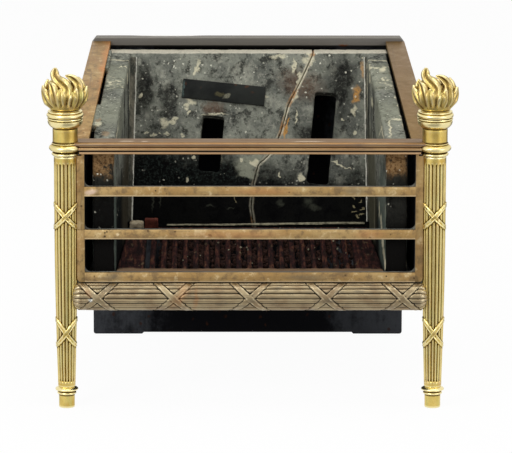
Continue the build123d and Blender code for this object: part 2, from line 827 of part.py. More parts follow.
lug_z = slab_head - lug_below_top
lug_face = slab_face(lug_z + lug_height / 2) + back_slab_thickness + clearance
with BuildPart() as back_plate:
    with BuildSketch(front_plane(body_depth + back_thickness)):
        half = back_width / 2
        Polygon(
            (-half, 0), (-half + pad_width, 0), (-half + pad_width + pad_height, pad_height),
            (half - pad_width - pad_height, pad_height), (half - pad_width, 0), (half, 0),
            (half, back_top - corner_cut_height), (half - corner_cut, back_top),
            (-half + corner_cut, back_top), (-half, back_top - corner_cut_height),
            align=None,
        )
    extrude(amount=back_thickness)
    upright_edges = back_plate.edges().filter_by(Axis.Y).group_by(Axis.Z)[0].sort_by(Axis.X)
    fillet([upright_edges[0], upright_edges[-1]], radius=pad_round)
    with BuildSketch(front_plane(flange_front + flange_depth)):
        Polygon(
            (-half, back_top - flange_height), (half, back_top - flange_height),
            (half, back_top - corner_cut_height), (half - corner_cut, back_top),
            (-half + corner_cut, back_top), (-half, back_top - corner_cut_height),
            align=None,
        )
    extrude(amount=flange_depth)
    for side in (-1, 1):
        x = side * lug_spread / 2
        front_box(x - lug_width / 2, x + lug_width / 2, lug_face, body_depth + 1,
                  lug_z - lug_height / 2, lug_z + lug_height / 2)
    pins(back_bolts_at, bolt_hole_radius, body_depth - 1, body_depth + back_thickness + 1,
         mode=Mode.SUBTRACT)
keep(back_plate, "back_plate")


# Fireclay liner
slab_rear_foot = slab_face(slab_foot) + back_slab_thickness
side_end = seat_gap / cos(atan2(rake_slope, 1))


def side_slab():
    """Upright fireclay slab inside the right cheek, its rear end cut to the back slab's rake."""
    with BuildPart() as slab:
        with BuildSketch(Plane.YZ):
            Polygon(
                (at(liner_front_gap), ledge_top),
                (at(liner_front_gap), grid_high - seat_gap),
                (at(top_rail_back + seat_gap), grid_high - seat_gap),
                (at(top_rail_back + seat_gap), liner_top(top_rail_back + seat_gap)),
                (at(back_slab_head_depth - side_end), liner_top(back_slab_head_depth)),
                (at(slab_face(ledge_top) - side_end), ledge_top),
                align=None,
            )
        extrude(amount=half_spacing)
        plan_shape(
            [
                (liner_inner(liner_front_gap), liner_front_gap),
                (liner_inner(back_slab_head_depth), back_slab_head_depth),
                (liner_inner(back_slab_head_depth) + liner_thickness, back_slab_head_depth),
                (liner_inner(liner_front_gap) + liner_thickness, liner_front_gap),
            ],
            Mode.INTERSECT,
        )
    return slab


liner_right = side_slab()
keep(liner_right, "liner_right")
with BuildPart() as liner_left:
    mirror(liner_right.part, about=Plane.YZ)
keep(liner_left, "liner_left")

# The back slab is cracked in two from its top edge to its foot
crack = [
    (73.4, slab_length + 8), (73.4, slab_length - 1.5), (58.6, 171.0), (45.0, 144.5), (37.0, 114.0),
    (26.9, 91.0), (11.0, 76.0), (5.4, 54.0), (3.0, 28.0), (8.0, -8.0),
]
slab_half = cheek_inner(back_slab_head_depth + back_slab_thickness) - back_slab_edge_gap


def slab_piece(side, name, place, length):
    """One half of the raked back slab, with its upright slot."""
    with BuildPart() as piece:
        with BuildSketch(Plane.YZ):
            Polygon(
                (at(back_slab_foot_depth), slab_foot),
                (at(back_slab_head_depth), slab_head),
                (at(back_slab_head_depth + back_slab_thickness), slab_head),
                (at(slab_rear_foot), slab_foot),
                align=None,
            )
        extrude(amount=slab_half, both=True)
        edge = [(cx + side * crack_width / 2, cy) for cx, cy in crack]
        with BuildSketch(slab_plane):
            Polygon(*edge, (side * 2 * slab_half, crack[-1][1]), (side * 2 * slab_half, crack[0][1]),
                    align=None)
        extrude(amount=3 * back_slab_thickness, both=True, mode=Mode.INTERSECT)
        with BuildSketch(slab_plane):
            with Locations(place):
                Rectangle(slot_width, length, rotation=-slot_lean)
        extrude(amount=3 * back_slab_thickness, both=True, mode=Mode.SUBTRACT)
    keep(piece, name)


slab_piece(-1, "liner_back_left", left_slot_place, left_slot_length)
slab_piece(1, "liner_back_right", right_slot_place, right_slot_length)

with BuildPart() as iron_strip:
    with BuildSketch(slab_plane):
        with Locations(strip_place):
            Rectangle(strip_length, strip_width, rotation=strip_tilt)
    extrude(amount=strip_thickness)
keep(iron_strip, "iron_strip")

bearer_back = back_slab_foot_depth + bearer_depth
with BuildPart() as slab_bearer:
    front_box(-slab_half, slab_half, back_slab_foot_depth, bearer_back, ledge_top, slab_foot)
keep(slab_bearer, "slab_bearer")


# Loose bottom grate with front-to-back slots
grate_low = ledge_top + clearance
grate_high = grate_low + grate_thickness
grate_front = liner_front_gap + seat_gap
grate_back = back_slab_foot_depth - grate_back_gap
slot_front = grate_front + grate_front_margin
slot_back = grate_back - grate_back_margin
with BuildPart() as bottom_grate:
    with BuildSketch(Plane.XY.offset(grate_low)):
        Polygon(
            (-liner_inner(grate_front) + grate_side_gap, at(grate_front)),
            (liner_inner(grate_front) - grate_side_gap, at(grate_front)),
            (liner_inner(grate_back) - grate_side_gap, at(grate_back)),
            (-liner_inner(grate_back) + grate_side_gap, at(grate_back)),
            align=None,
        )
        with Locations((0, at((slot_front + slot_back) / 2))):
            with GridLocations(slot_pitch, 1, slot_count, 1):
                SlotOverall(slot_back - slot_front, slot_gap, rotation=90, mode=Mode.SUBTRACT)
    extrude(amount=grate_thickness)
keep(bottom_grate, "bottom_grate")

# Broken brick and a lump of fire cement wedged in the left rear corner
packing_back = grate_back - 0.5
lump_left = -liner_inner(grate_back) + packing_side_gap
brick_left = lump_left + lump_size[0] + seat_gap
with BuildPart() as packing_brick:
    front_box(brick_left, brick_left + brick_size[0], packing_back - brick_size[1], packing_back,
              grate_high, grate_high + brick_size[2])
    chamfer(packing_brick.edges().group_by(Axis.Z)[-1], 1.0)
keep(packing_brick, "packing_brick")

with BuildPart() as packing_lump:
    front_box(lump_left, lump_left + lump_size[0], packing_back - lump_size[1], packing_back,
              grate_high, grate_high + lump_size[2])
    chamfer(packing_lump.edges().group_by(Axis.Z)[-1], 2.5)
keep(packing_lump, "packing_lump")


# Fasteners, one node for each kind
def screws(places, seat, tip):
    """Round-headed screws along Y: heads behind the seat depth, shanks forward to the tip."""
    pins(places, screw_radius, tip, seat)
    pins(places, screw_head_radius, seat, seat + screw_head_height)


with BuildPart() as facing_screws:
    screws(bar_screws + top_screws, grid_back, screw_tip)
keep(facing_screws, "facing_screws")

with BuildPart() as reed_rail_screws:
    screws(reed_screws, grid_back, grid_front - 5 + clearance)
keep(reed_rail_screws, "reed_rail_screws")

with BuildPart() as cheek_studs:
    pins(cheek_studs_at, screw_radius, screw_tip, stud_end)
keep(cheek_studs, "cheek_studs")

with BuildPart() as column_screws:
    places = [(side * half_spacing, lug_mid) for side in (-1, 1)]
    screws(places, lug_front + 3, lug_front - clearance / 2)
keep(column_screws, "column_screws")

with BuildPart() as rail_screws_right:
    on_rail_planes(screw_radius, -cheek_flange_thickness, rail_thickness - screw_skin - clearance)
    on_rail_planes(screw_head_radius, -cheek_flange_thickness - screw_head_height,
                   -cheek_flange_thickness)
with BuildPart() as rail_screws:
    add(rail_screws_right.part)
    mirror(rail_screws_right.part, about=Plane.YZ)
keep(rail_screws, "rail_screws")

with BuildPart() as back_bolts:
    pins(back_bolts_at, bolt_radius, body_depth - tab_thickness - bolt_nut_height - 1,
         body_depth + back_thickness)
    pins(back_bolts_at, bolt_head_radius, body_depth + back_thickness, back_reach)
keep(back_bolts, "back_bolts")

nut_low = body_depth - tab_thickness - bolt_nut_height
with BuildPart() as back_nuts:
    hexagons(back_bolts_at, bolt_nut_width, nut_low, body_depth - tab_thickness)
    pins(back_bolts_at, bolt_hole_radius, nut_low - 1, body_depth, mode=Mode.SUBTRACT)
keep(back_nuts, "back_nuts")
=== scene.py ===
import math

import bmesh
import bpy
import numpy as np
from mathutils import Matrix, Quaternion, Vector, noise


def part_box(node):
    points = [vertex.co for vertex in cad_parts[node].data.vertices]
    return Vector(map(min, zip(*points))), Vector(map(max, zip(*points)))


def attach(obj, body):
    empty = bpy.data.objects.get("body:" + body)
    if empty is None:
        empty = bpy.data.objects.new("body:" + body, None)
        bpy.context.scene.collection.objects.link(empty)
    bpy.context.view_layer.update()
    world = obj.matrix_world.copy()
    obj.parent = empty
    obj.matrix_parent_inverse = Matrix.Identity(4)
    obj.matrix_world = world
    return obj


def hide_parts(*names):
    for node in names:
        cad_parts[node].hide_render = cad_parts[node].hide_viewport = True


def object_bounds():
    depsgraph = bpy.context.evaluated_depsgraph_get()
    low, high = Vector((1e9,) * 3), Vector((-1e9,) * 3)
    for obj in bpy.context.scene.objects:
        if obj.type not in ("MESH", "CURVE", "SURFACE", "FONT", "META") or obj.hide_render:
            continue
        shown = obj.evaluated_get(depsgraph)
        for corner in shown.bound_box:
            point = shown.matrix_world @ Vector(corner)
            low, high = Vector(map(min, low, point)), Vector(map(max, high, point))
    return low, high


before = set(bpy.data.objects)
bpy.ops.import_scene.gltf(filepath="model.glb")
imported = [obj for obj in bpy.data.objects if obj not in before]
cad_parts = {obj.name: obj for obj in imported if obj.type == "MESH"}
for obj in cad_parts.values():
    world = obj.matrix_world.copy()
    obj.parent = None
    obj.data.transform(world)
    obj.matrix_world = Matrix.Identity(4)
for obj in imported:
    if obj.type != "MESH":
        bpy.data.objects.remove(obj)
cad_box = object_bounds()

# A cast brass and iron fire grate: the CAD nodes give every place and size,
# and the pieces made here stand on them with the castings' detail.
MM = 0.001
AXIS_Y = (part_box("rod_left")[0].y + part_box("rod_left")[1].y) / 2
HALF_SPACING = (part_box("rod_right")[0].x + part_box("rod_right")[1].x) / 2
COLUMNS = {"left": -HALF_SPACING, "right": HALF_SPACING}


# ---------- Node trees written as formulas ----------
class Field:
    """A number, vector or colour inside a node tree, used like a number."""

    def __init__(self, tree, socket):
        self.tree = tree
        self.socket = socket

    def calc(self, operation, *others):
        given = dict(enumerate((self, *others)))
        return step(self.tree, "ShaderNodeMath", given, operation=operation)

    def __rsub__(self, other):
        return step(self.tree, "ShaderNodeMath", {0: other, 1: self}, operation="SUBTRACT")

    def ease(self, low, high, low_value=0.0, high_value=1.0):
        """A smooth change from low_value at low to high_value at high."""
        given = {0: self, 1: low, 2: high, 3: low_value, 4: high_value}
        return step(self.tree, "ShaderNodeMapRange", given, interpolation_type="SMOOTHSTEP")

    def parts(self):
        """The three numbers of a vector."""
        node = self.tree.nodes.new("ShaderNodeSeparateXYZ")
        feed(self.tree, node.inputs[0], self)
        return [Field(self.tree, output) for output in node.outputs]


def as_method(operation):
    """A method of Field that does one kind of sum."""
    return lambda field, *others: field.calc(operation, *others)


for method, operation in (
        ("__add__", "ADD"), ("__radd__", "ADD"), ("__sub__", "SUBTRACT"),
        ("__mul__", "MULTIPLY"), ("__rmul__", "MULTIPLY"), ("__truediv__", "DIVIDE"),
        ("__abs__", "ABSOLUTE"), ("sin", "SINE"), ("cos", "COSINE"), ("root", "SQRT"),
        ("least", "MINIMUM"), ("most", "MAXIMUM")):
    setattr(Field, method, as_method(operation))


def feed(tree, socket, value):
    if isinstance(value, Field):
        tree.links.new(value.socket, socket)
    elif isinstance(value, tuple) and socket.type == "RGBA":
        socket.default_value = (*value, 1.0)
    else:
        socket.default_value = value


def step(tree, kind, given, output=0, **settings):
    """One node: its settings and inputs, and the output that goes on."""
    node = tree.nodes.new(kind)
    for name, value in settings.items():
        setattr(node, name, value)
    for key, value in given.items():
        feed(tree, node.inputs[key], value)
    return Field(tree, node.outputs[output])


def vector(tree, x, y, z):
    return step(tree, "ShaderNodeCombineXYZ", {0: x, 1: y, 2: z})


def shifted(tree, cloud, amount):
    """A push in any direction from a noise's colour; amount is its whole range."""
    centred = step(tree, "ShaderNodeVectorMath", {0: cloud, 1: (0.5, 0.5, 0.5)},
                   operation="SUBTRACT")
    return step(tree, "ShaderNodeVectorMath", {0: centred, "Scale": amount}, operation="SCALE")


# ---------- Finishes ----------
def linear(colour):
    """A colour as the eye reads it, 0 to 255, made linear for the shader."""
    if isinstance(colour, Field):
        return colour
    return tuple(c / 12.92 if c <= 0.04045 else ((c + 0.055) / 1.055) ** 2.4
                 for c in (part / 255 for part in colour))


class Finish:
    """A procedural surface finish on one Principled shader, built up in coats of colour."""

    def __init__(self, name, body=None, metallic=0.0, roughness=0.6, gloss=0.5):
        self.material = bpy.data.materials.new(name)
        self.material.use_nodes = True
        self.tree = self.material.node_tree
        self.shader = self.tree.nodes["Principled BSDF"]
        self.shader.inputs["Metallic"].default_value = metallic
        self.shader.inputs["Roughness"].default_value = roughness
        self.shader.inputs["Specular IOR Level"].default_value = gloss
        where = self.tree.nodes.new("ShaderNodeTexCoord")
        self.place = Field(self.tree, where.outputs["Object"])
        self.facing = Field(self.tree, where.outputs["Normal"])
        self.colour = body

    def noise(self, size, detail, roughness=0.55, stretch=(1, 1, 1), at=(0, 0, 0)):
        """Cloudy variation whose patches are about size metres across."""
        place = self.place
        if stretch != (1, 1, 1) or at != (0, 0, 0):
            given = {0: place, 1: at, 3: tuple(1 / s for s in stretch)}
            place = step(self.tree, "ShaderNodeMapping", given)
        given = {"Vector": place, "Scale": 1 / size, "Detail": detail, "Roughness": roughness}
        return step(self.tree, "ShaderNodeTexNoise", given)

    def grains(self, size, amount, ragged):
        """Distance to the nearest of many points size metres apart, with ragged edges."""
        given = {"Vector": self.shaken(amount, ragged), "Scale": 1 / size}
        return step(self.tree, "ShaderNodeTexVoronoi", given)

    def mix(self, factor, base, top):
        given = {0: factor, 6: linear(base), 7: linear(top)}
        return step(self.tree, "ShaderNodeMix", given, output=2, data_type="RGBA")

    def lay(self, mask, colour):
        """Another colour, laid on where the mask is 1."""
        self.colour = self.mix(mask, self.colour, colour)

    def coats(self, *rows):
        """Colours laid on in turn, each as its field goes from low to high."""
        for field, low, high, strength, colour in rows:
            self.lay(field.ease(low, high, 0.0, strength), colour)

    def shaken(self, amount, size):
        """Object position with its edges made ragged, for marks and stains."""
        given = {"Vector": self.place, "Scale": 1 / size, "Detail": 4.0}
        cloud = step(self.tree, "ShaderNodeTexNoise", given, output=1)
        moved = shifted(self.tree, cloud, amount)
        return step(self.tree, "ShaderNodeVectorMath", {0: moved, 1: self.place},
                    operation="ADD")

    def spots(self, place, marks):
        """1 inside any of several oval marks and 0 outside; a turn is about Y or X."""
        total = None
        for centre, radii, turn, soft in marks:
            angle = math.radians(turn)
            axis = (0, angle, 0) if radii[1] >= 0.1 else (angle, 0, 0)
            given = {0: place, 1: centre, 2: axis, 3: radii}
            local = step(self.tree, "ShaderNodeMapping", given, vector_type="TEXTURE")
            reach = step(self.tree, "ShaderNodeVectorMath", {0: local}, output=1,
                         operation="LENGTH")
            mask = reach.ease(1 + soft, 1 - soft)
            total = mask if total is None else total.most(mask)
        return total

    def marks(self, place, groups, *masks):
        """Groups of marks laid on in turn, each with its colour and strength."""
        for colour, strength, marks in groups:
            total = self.spots(place, marks)
            for mask in masks:
                total = total * mask
            self.lay(total * strength, colour)

    def upward(self):
        """1 on faces that look up, where dust and ash settle."""
        return self.facing.parts()[2].ease(0.55, 0.8)

    def stored(self, name):
        """A number stored on the mesh's points; hollow is -1 on a ridge, 1 in a groove."""
        return step(self.tree, "ShaderNodeAttribute", {}, output=2, attribute_name=name)

    def done(self, height, distance, strength, roughness=None):
        """The material, with its colour, roughness and bump joined up."""
        feed(self.tree, self.shader.inputs["Base Color"], self.colour)
        if roughness:
            feed(self.tree, self.shader.inputs["Roughness"], roughness)
        bump = step(self.tree, "ShaderNodeBump",
                    {"Height": height, "Distance": distance, "Strength": strength})
        feed(self.tree, self.shader.inputs["Normal"], bump)
        return self.material


def cast_brass(name, body, shade, dark, bright, roughness):
    """Lacquered cast brass: painted highlight on ridges; hollows dark with old polish and painted
    shade.
    """
    finish = Finish(name, body, metallic=1.0)
    cloud = finish.noise(0.018, 4.0)
    fine = finish.noise(0.0016, 5.0, 0.65)
    ruddy = finish.noise(0.006, 4.0, 0.6, (1, 1, 5), (1.3, 0.4, 2.2))
    green = finish.noise(0.005, 4.0, 0.6, (1, 1, 6), (4.1, 2.7, 0.6))
    hollow = finish.stored("hollow")
    # Hollows painted dark, partly old polish and partly painted shade; ridges get a painted
    # highlight.
    finish.coats((cloud, 0.35, 0.68, 1.0, shade),
                 (ruddy, 0.52, 0.7, 0.55, (206, 168, 118)),
                 (green, 0.52, 0.7, 0.6, (192, 188, 112)),
                 (hollow + (fine - 0.5) * 0.5, 0.04, 0.6, 1.0, dark),
                 (0.0 - hollow, 0.12, 0.7, 0.8, bright))
    dull = (hollow.ease(0.0, 0.8) * 0.28 + fine * 0.16 + cloud * 0.1) + roughness
    return finish.done(fine * 0.5 + cloud, 0.00025, 0.5, dull)


column_brass = cast_brass("gilt_brass", (222, 197, 114), (200, 169, 86), (74, 54, 18),
                          (246, 234, 180), 0.17)
flame_brass = cast_brass("flame_brass", (184, 162, 96), (160, 136, 76), (88, 68, 32),
                         (210, 196, 150), 0.26)


def aged_strip(name, body, warm, stain, pale, grain=(14, 1, 1), edges=(), marks=(),
               heat_stain_and_right_shade=False):
    """Old lacquered brass strip: uneven tan, handling stains and pale painted highlight lines on
    its edges.
    """
    finish = Finish(name, body, metallic=0.85)
    x, _, z = finish.place.parts()
    broad = finish.noise(0.045, 4.0, 0.6)
    smudge = finish.noise(0.011, 5.0, 0.65, at=(5.2, 0.8, 3.3))
    streak = finish.noise(0.005, 5.0, 0.65, grain)
    fine = finish.noise(0.0013, 4.0, 0.7)
    finish.coats((broad, 0.36, 0.64, 1.0, warm),
                 (smudge, 0.48, 0.64, 0.9, stain),
                 (streak, 0.52, 0.7, 0.65, (122, 100, 74)),
                 (smudge, 0.44, 0.32, 0.8, pale),
                 (fine, 0.58, 0.76, 0.4, pale),
                 (finish.grains(0.012, 0.006, 0.01), 0.13, 0.05, 0.75, (66, 46, 28)))
    # Pale lines along the given edges: painted highlights.
    for edge in edges:
        worn = abs(z - edge + (smudge - 0.5) * 0.0012).ease(0.0011, 0.0005)
        finish.lay(worn * 0.7, (226, 202, 160))
    finish.marks(finish.shaken(0.0016, 0.003), marks)
    if heat_stain_and_right_shade:
        finish.marks(finish.shaken(0.012, 0.02), [
            ((206, 134, 66), 0.75, [((-0.156, 0.02, 0.32), (0.008, 0.16, 0.2), 0.0, 0.6)])])
        # The right-hand rail is painted darker brown: painted shade.
        finish.lay(x.ease(0.0, 0.05, 0.05, 0.8), (112, 86, 46))
    return finish.done(fine * 0.4 + broad * 2.0 + streak + smudge, 0.0003, 0.55,
                       fine * 0.22 + smudge * 0.3 + 0.2)


FAR = 9.0  # a reach beyond the whole object
SOFT = 0.35  # how gently a mark fades out


def placed(where, groups):
    """Groups of marks, the numbers of each mark put in place by where."""
    return [(colour, strength, [where(*mark) for mark in marks])
            for colour, strength, marks in groups]


def on_bar(x, level, above, half_x, half_z, turn=0.0, soft=SOFT):
    """An oval mark on a bar's front, in millimetres from the bar's middle."""
    return ((x * MM, AXIS_Y, level + above * MM), (half_x * MM, 0.1, half_z * MM), turn, soft)


def flat(x, z, half_x, half_z, turn=0.0, soft=SOFT):
    """An oval mark on the back slab, in millimetres seen from the front."""
    return ((x * MM, 0.0, z * MM), (half_x * MM, FAR, half_z * MM), turn, soft)


BARS = ("bar_upper", "bar_lower", "bottom_bar")
bar_highlight_edges = [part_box(name)[0].z + 0.0004 for name in BARS]
upper, lower, bottom = ((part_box(name)[0].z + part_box(name)[1].z) / 2 for name in BARS)
bar_marks = placed(on_bar, [
    ((48, 36, 24), 0.85, [
        (-155.6, lower, 2, 1, 1), (-155.6, lower, -2.2, 1.1, 1), (-153.2, lower, 2.8, 0.8, 1.2),
        (-42.6, lower, -0.6, 2.4, 1.1, 25), (146.2, bottom, 1, 0.9, 0.9),
        (-101, upper, 1.2, 0.7, 0.8)]),
    ((232, 210, 166), 0.8, [
        (-141.8, lower, 0, 1.6, 1.4, 0, 0.6), (-46.6, lower, -2, 1.6, 0.8, 0, 0.6)]),
    ((226, 200, 180), 0.75, [(-170.5, upper, -0.5, 6, 2.6, -12, 0.6)]),
    ((196, 142, 92), 0.5, [
        (-20, lower, 0, 50, 3.5, 0, 0.8), (128, lower, 0, 14, 4, 0, 0.8),
        (12, upper, 0, 30, 3, 0, 0.8)]),
    ((112, 104, 88), 0.55, [
        (112, upper, 1, 12, 4, 0, 0.8), (-148, bottom, 0, 9, 3, 0, 0.8),
        (60, bottom, 0, 20, 3, 0, 0.8)]),
])
bar_brass = aged_strip("bar_brass", (190, 160, 108), (174, 140, 88), (136, 112, 78),
                       (222, 200, 154), edges=bar_highlight_edges, marks=bar_marks)
stile_brass = aged_strip("stile_brass", (178, 150, 100), (162, 128, 82), (128, 106, 72),
                         (206, 182, 138), (1, 1, 12))
rail_brass = aged_strip("side_rail_brass", (172, 141, 88), (154, 119, 70), (126, 103, 66),
                        (198, 170, 122), (1, 14, 8), heat_stain_and_right_shade=True)


def moulding():
    """Brown lacquered moulding: painted shade black under the bead, painted highlights on fillet,
    bead and lip.
    """
    finish = Finish("moulding_brass", (162, 132, 92), metallic=0.8)
    broad = finish.noise(0.05, 4.0, 0.6)
    smudge = finish.noise(0.012, 5.0, 0.65, (3, 1, 1))
    streak = finish.noise(0.004, 5.0, 0.65, (18, 1, 1))
    fine = finish.noise(0.0013, 4.0, 0.7)
    finish.coats((broad, 0.36, 0.64, 1.0, (146, 112, 76)),
                 (smudge, 0.52, 0.7, 0.7, (120, 100, 80)),
                 (streak, 0.5, 0.72, 0.6, (142, 104, 70)),
                 (fine, 0.6, 0.78, 0.35, (214, 188, 150)))
    finish.lay(finish.upward() * 0.85, (112, 82, 42))
    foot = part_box("top_rail")[0].z
    height = finish.place.parts()[2] - foot
    # Lines along the front by height: grey-brown at the nosing, a brown band, a painted highlight
    # on the bead, painted shade black in the gap under it, and a painted highlight on the fillet.
    for level, half, strength, shade in (
            (10.2, 0.7, 0.75, (96, 84, 76)), (7.6, 0.45, 0.5, (106, 78, 54)),
            (4.9, 0.5, 0.65, (190, 164, 124)), (2.95, 1.1, 0.97, (20, 14, 8)),
            (1.3, 0.8, 0.65, (214, 176, 134))):
        gap = abs(height - level * MM + (streak - 0.5) * 0.0006)
        finish.lay(gap.ease(half * 1.35 * MM, half * 0.75 * MM) * strength, shade)
    # Pale marks on the top by the front edge: painted highlights.
    lip_highlights = [((x, AXIS_Y - front, foot + 0.0128), (half, thick, 0.002), 0.0, 0.3)
           for x, front, half, thick in ((-0.1315, 0.0015, 0.0078, 0.0011),
                                         (-0.1125, 0.0022, 0.0035, 0.001),
                                         (0.062, 0.003, 0.016, 0.0008))]
    finish.marks(finish.shaken(0.0014, 0.003), [((250, 232, 205), 0.9, lip_highlights)])
    return finish.done(fine * 0.4 + broad * 2.0 + streak, 0.0003, 0.5,
                       fine * 0.2 + smudge * 0.3 + 0.2)


moulding_brass = moulding()


def reed_bronze():
    """Antique bronze on the reeded rail: grooves green black from patina and painted shade, crowns
    with a painted highlight.
    """
    finish = Finish("reed_bronze", (160, 144, 112), metallic=0.8)
    cloud = finish.noise(0.02, 4.0)
    smudge = finish.noise(0.006, 4.0, 0.65, (3, 1, 1))
    fine = finish.noise(0.0014, 5.0, 0.7)
    hollow = finish.stored("hollow")
    # Grooves painted dark, partly patina and partly painted shade; reed crowns get a painted
    # highlight.
    finish.coats((cloud, 0.35, 0.7, 1.0, (134, 114, 86)),
                 (smudge, 0.5, 0.7, 0.6, (112, 104, 88)),
                 (0.0 - hollow, 0.2, 0.85, 0.75, (214, 200, 166)),
                 (hollow + (fine - 0.5) * 0.5, 0.0, 0.42, 1.0, (30, 30, 24)))
    finish.marks(finish.shaken(0.012, 0.012), placed(on_bar, [
        ((160, 112, 70), 0.42, [
            (-75.5, 0.125, 0, 5, 13, 35, 0.8), (-58, 0.12, 0, 1.8, 12, 0, 0.8),
            (-172.5, 0.128, 0, 3, 3, 0, 0.7)]),
        # A small grey-white spot: a painted glint.
        ((212, 216, 214), 0.6, [(-171, 0.1215, 0, 2.5, 1.8, 0, 0.5)])]))
    return finish.done(fine + cloud, 0.0003, 0.5,
                       fine * 0.2 + hollow.ease(0.0, 0.6) * 0.3 + 0.26)


rail_bronze = reed_bronze()


def black_iron(name, body, worn, patch, rust, bloomed=(0.56, 0.72), gloss=0.1, marks=()):
    """Blacked iron: uneven scale with grey bloom, small rust spots and dust on top."""
    finish = Finish(name, body, roughness=0.55, gloss=gloss)
    x, _, z = finish.place.parts()
    cloud = finish.noise(0.03, 5.0, 0.6)
    fine = finish.noise(0.0012, 5.0, 0.75)
    bloom = finish.noise(0.03, 8.0, 0.72, at=(3.1, 1.7, 0.4))
    wiped = finish.noise(0.012, 6.0, 0.7, (1, 1, 4), (0.8, 2.9, 1.4))
    # Grey bloom gathers towards the ends, most on the right, and less behind; it is thinner in the
    # middle as painted shade under the reeded rail.
    edge = abs(x + 0.006).ease(0.06, 0.13, -0.22, 0.09) + x.ease(0.06, 0.13, 0.0, 0.05)
    behind = finish.facing.parts()[1].ease(0.2, 0.8)
    bloom_and_middle_shade = bloom * 0.6 + wiped * 0.4 + edge * (1.0 - behind) - behind * 0.03
    finish.coats((cloud, 0.35, 0.7, 1.0, worn),
                 (bloom_and_middle_shade, *bloomed, 0.75, patch),
                 (finish.grains(0.014, 0.008, 0.01), 0.2, 0.08, 0.7, rust))
    finish.marks(finish.shaken(0.006, 0.006), marks, fine.ease(0.35, 0.55, 0.4, 1.0))
    # The top edge is rubbed grey, with a rust spot, dust and a painted highlight along the rear
    # edge.
    finish.lay(z.ease(0.334, 0.34) * 0.8, (112, 108, 102))
    finish.marks(finish.shaken(0.003, 0.004), [
        ((112, 66, 40), 0.85, [((0.1085, 0.19, 0.3385), (0.0055, 0.1, 0.0022), 0.0, 0.35)])])
    dust = finish.upward() * fine.ease(0.3, 0.6, 0.55, 0.95) * z.ease(0.2, 0.33, 0.3, 1.0)
    finish.lay(dust, (132, 128, 120))
    rear_edge_highlight = ((-0.092, cad_box[1][1] - 0.004, 0.347), (0.036, 0.0035, 0.004), 0.0, 0.3)
    finish.marks(finish.shaken(0.002, 0.01), [((248, 248, 242), 0.9, [rear_edge_highlight])])
    return finish.done(fine + cloud * 1.5, 0.0004, 0.7, fine * 0.3 + cloud * 0.2 + 0.36)


plate_iron = black_iron("blacked_plate", (3, 3, 5), (8, 8, 11), (70, 72, 76), (54, 32, 22),
                        (0.4, 0.68), 0.04)
strip_iron = black_iron("flat_strip_iron", (34, 36, 33), (14, 16, 15), (84, 84, 72),
                        (70, 44, 28), (0.5, 0.7), marks=placed(flat, [
                            ((122, 120, 102), 0.9, [(-24.5, 288.5, 4.2, 2.6, -30)]),
                            ((76, 72, 50), 0.9, [(-32.5, 290, 5, 2.6)]),
                            ((70, 84, 80), 0.9, [(-73.5, 296, 1.2, 8.5, 6)])]))
grid_iron = black_iron("scaled_grid_iron", (98, 98, 92), (58, 60, 57), (150, 151, 140),
                       (92, 60, 40))


def rusted_grate():
    """Heat-scaled cast iron: dull red brown, black in the slots, pale ash in front."""
    finish = Finish("rusted_grate", (56, 30, 27), roughness=0.92, gloss=0.06)
    _, y, z = finish.place.parts()
    cloud = finish.noise(0.022, 5.0, 0.68)
    fine = finish.noise(0.0022, 5.0, 0.7)
    streak = finish.noise(0.0032, 5.0, 0.7, (1, 12, 1))
    ash = finish.noise(0.007, 5.0, 0.7, (1, 4, 1))
    finish.coats((cloud, 0.38, 0.64, 1.0, (30, 16, 18)),
                 (streak, 0.48, 0.58, 0.85, (12, 8, 9)),
                 (streak, 0.46, 0.38, 0.75, (90, 58, 42)),
                 (fine, 0.52, 0.74, 0.5, (84, 60, 46)),
                 (ash, 0.6, 0.74, 0.6, (138, 122, 92)))
    # The front margin is ash grey, and what lies below the top face is black.
    margin = (y + (cloud - 0.5) * 0.02).ease(AXIS_Y + 0.024, AXIS_Y + 0.014)
    finish.lay(margin * 0.8, (132, 108, 84))
    finish.lay(z.ease(0.1478, 0.1462), (7, 5, 5))
    return finish.done(fine * 2.0 + cloud, 0.0006, 0.8)


grate_rust = rusted_grate()


# ---------- Mesh helpers ----------
def new_object(name, data):
    piece = bpy.data.objects.new(name, data)
    bpy.context.scene.collection.objects.link(piece)
    return piece


def mesh_from(name, points, faces):
    mesh = bpy.data.meshes.new(name)
    mesh.from_pydata([tuple(p) for p in points], [], faces)
    mesh.update()
    return mesh


def read(items, what, width, kind=np.float32):
    """One property of all the items of a mesh, a row for each."""
    flat_list = np.empty(len(items) * width, kind)
    items.foreach_get(what, flat_list)
    return flat_list.reshape(-1, width)


def points_of(mesh):
    return read(mesh.vertices, "co", 3).astype(float)


def set_points(mesh, points):
    mesh.vertices.foreach_set("co", np.ascontiguousarray(points, np.float32).ravel())
    mesh.update()


def keep(mesh, name, values):
    """Store one number for each point of a mesh, for its finish to read."""
    attribute = mesh.attributes.new(name, "FLOAT", "POINT")
    attribute.data.foreach_set("value", values.astype(np.float32))


def ring_faces(rows, turns, ends="capped"):
    """Faces over rows of turns points each, with capped, open or joined ends."""
    joined = ends == "joined"
    faces = [(r * turns + k, r * turns + (k + 1) % turns,
              (r + 1) % rows * turns + (k + 1) % turns, (r + 1) % rows * turns + k)
             for r in range(rows if joined else rows - 1) for k in range(turns)]
    if ends == "capped":
        faces += [tuple(range(turns))[::-1], tuple(range((rows - 1) * turns, rows * turns))]
    return faces


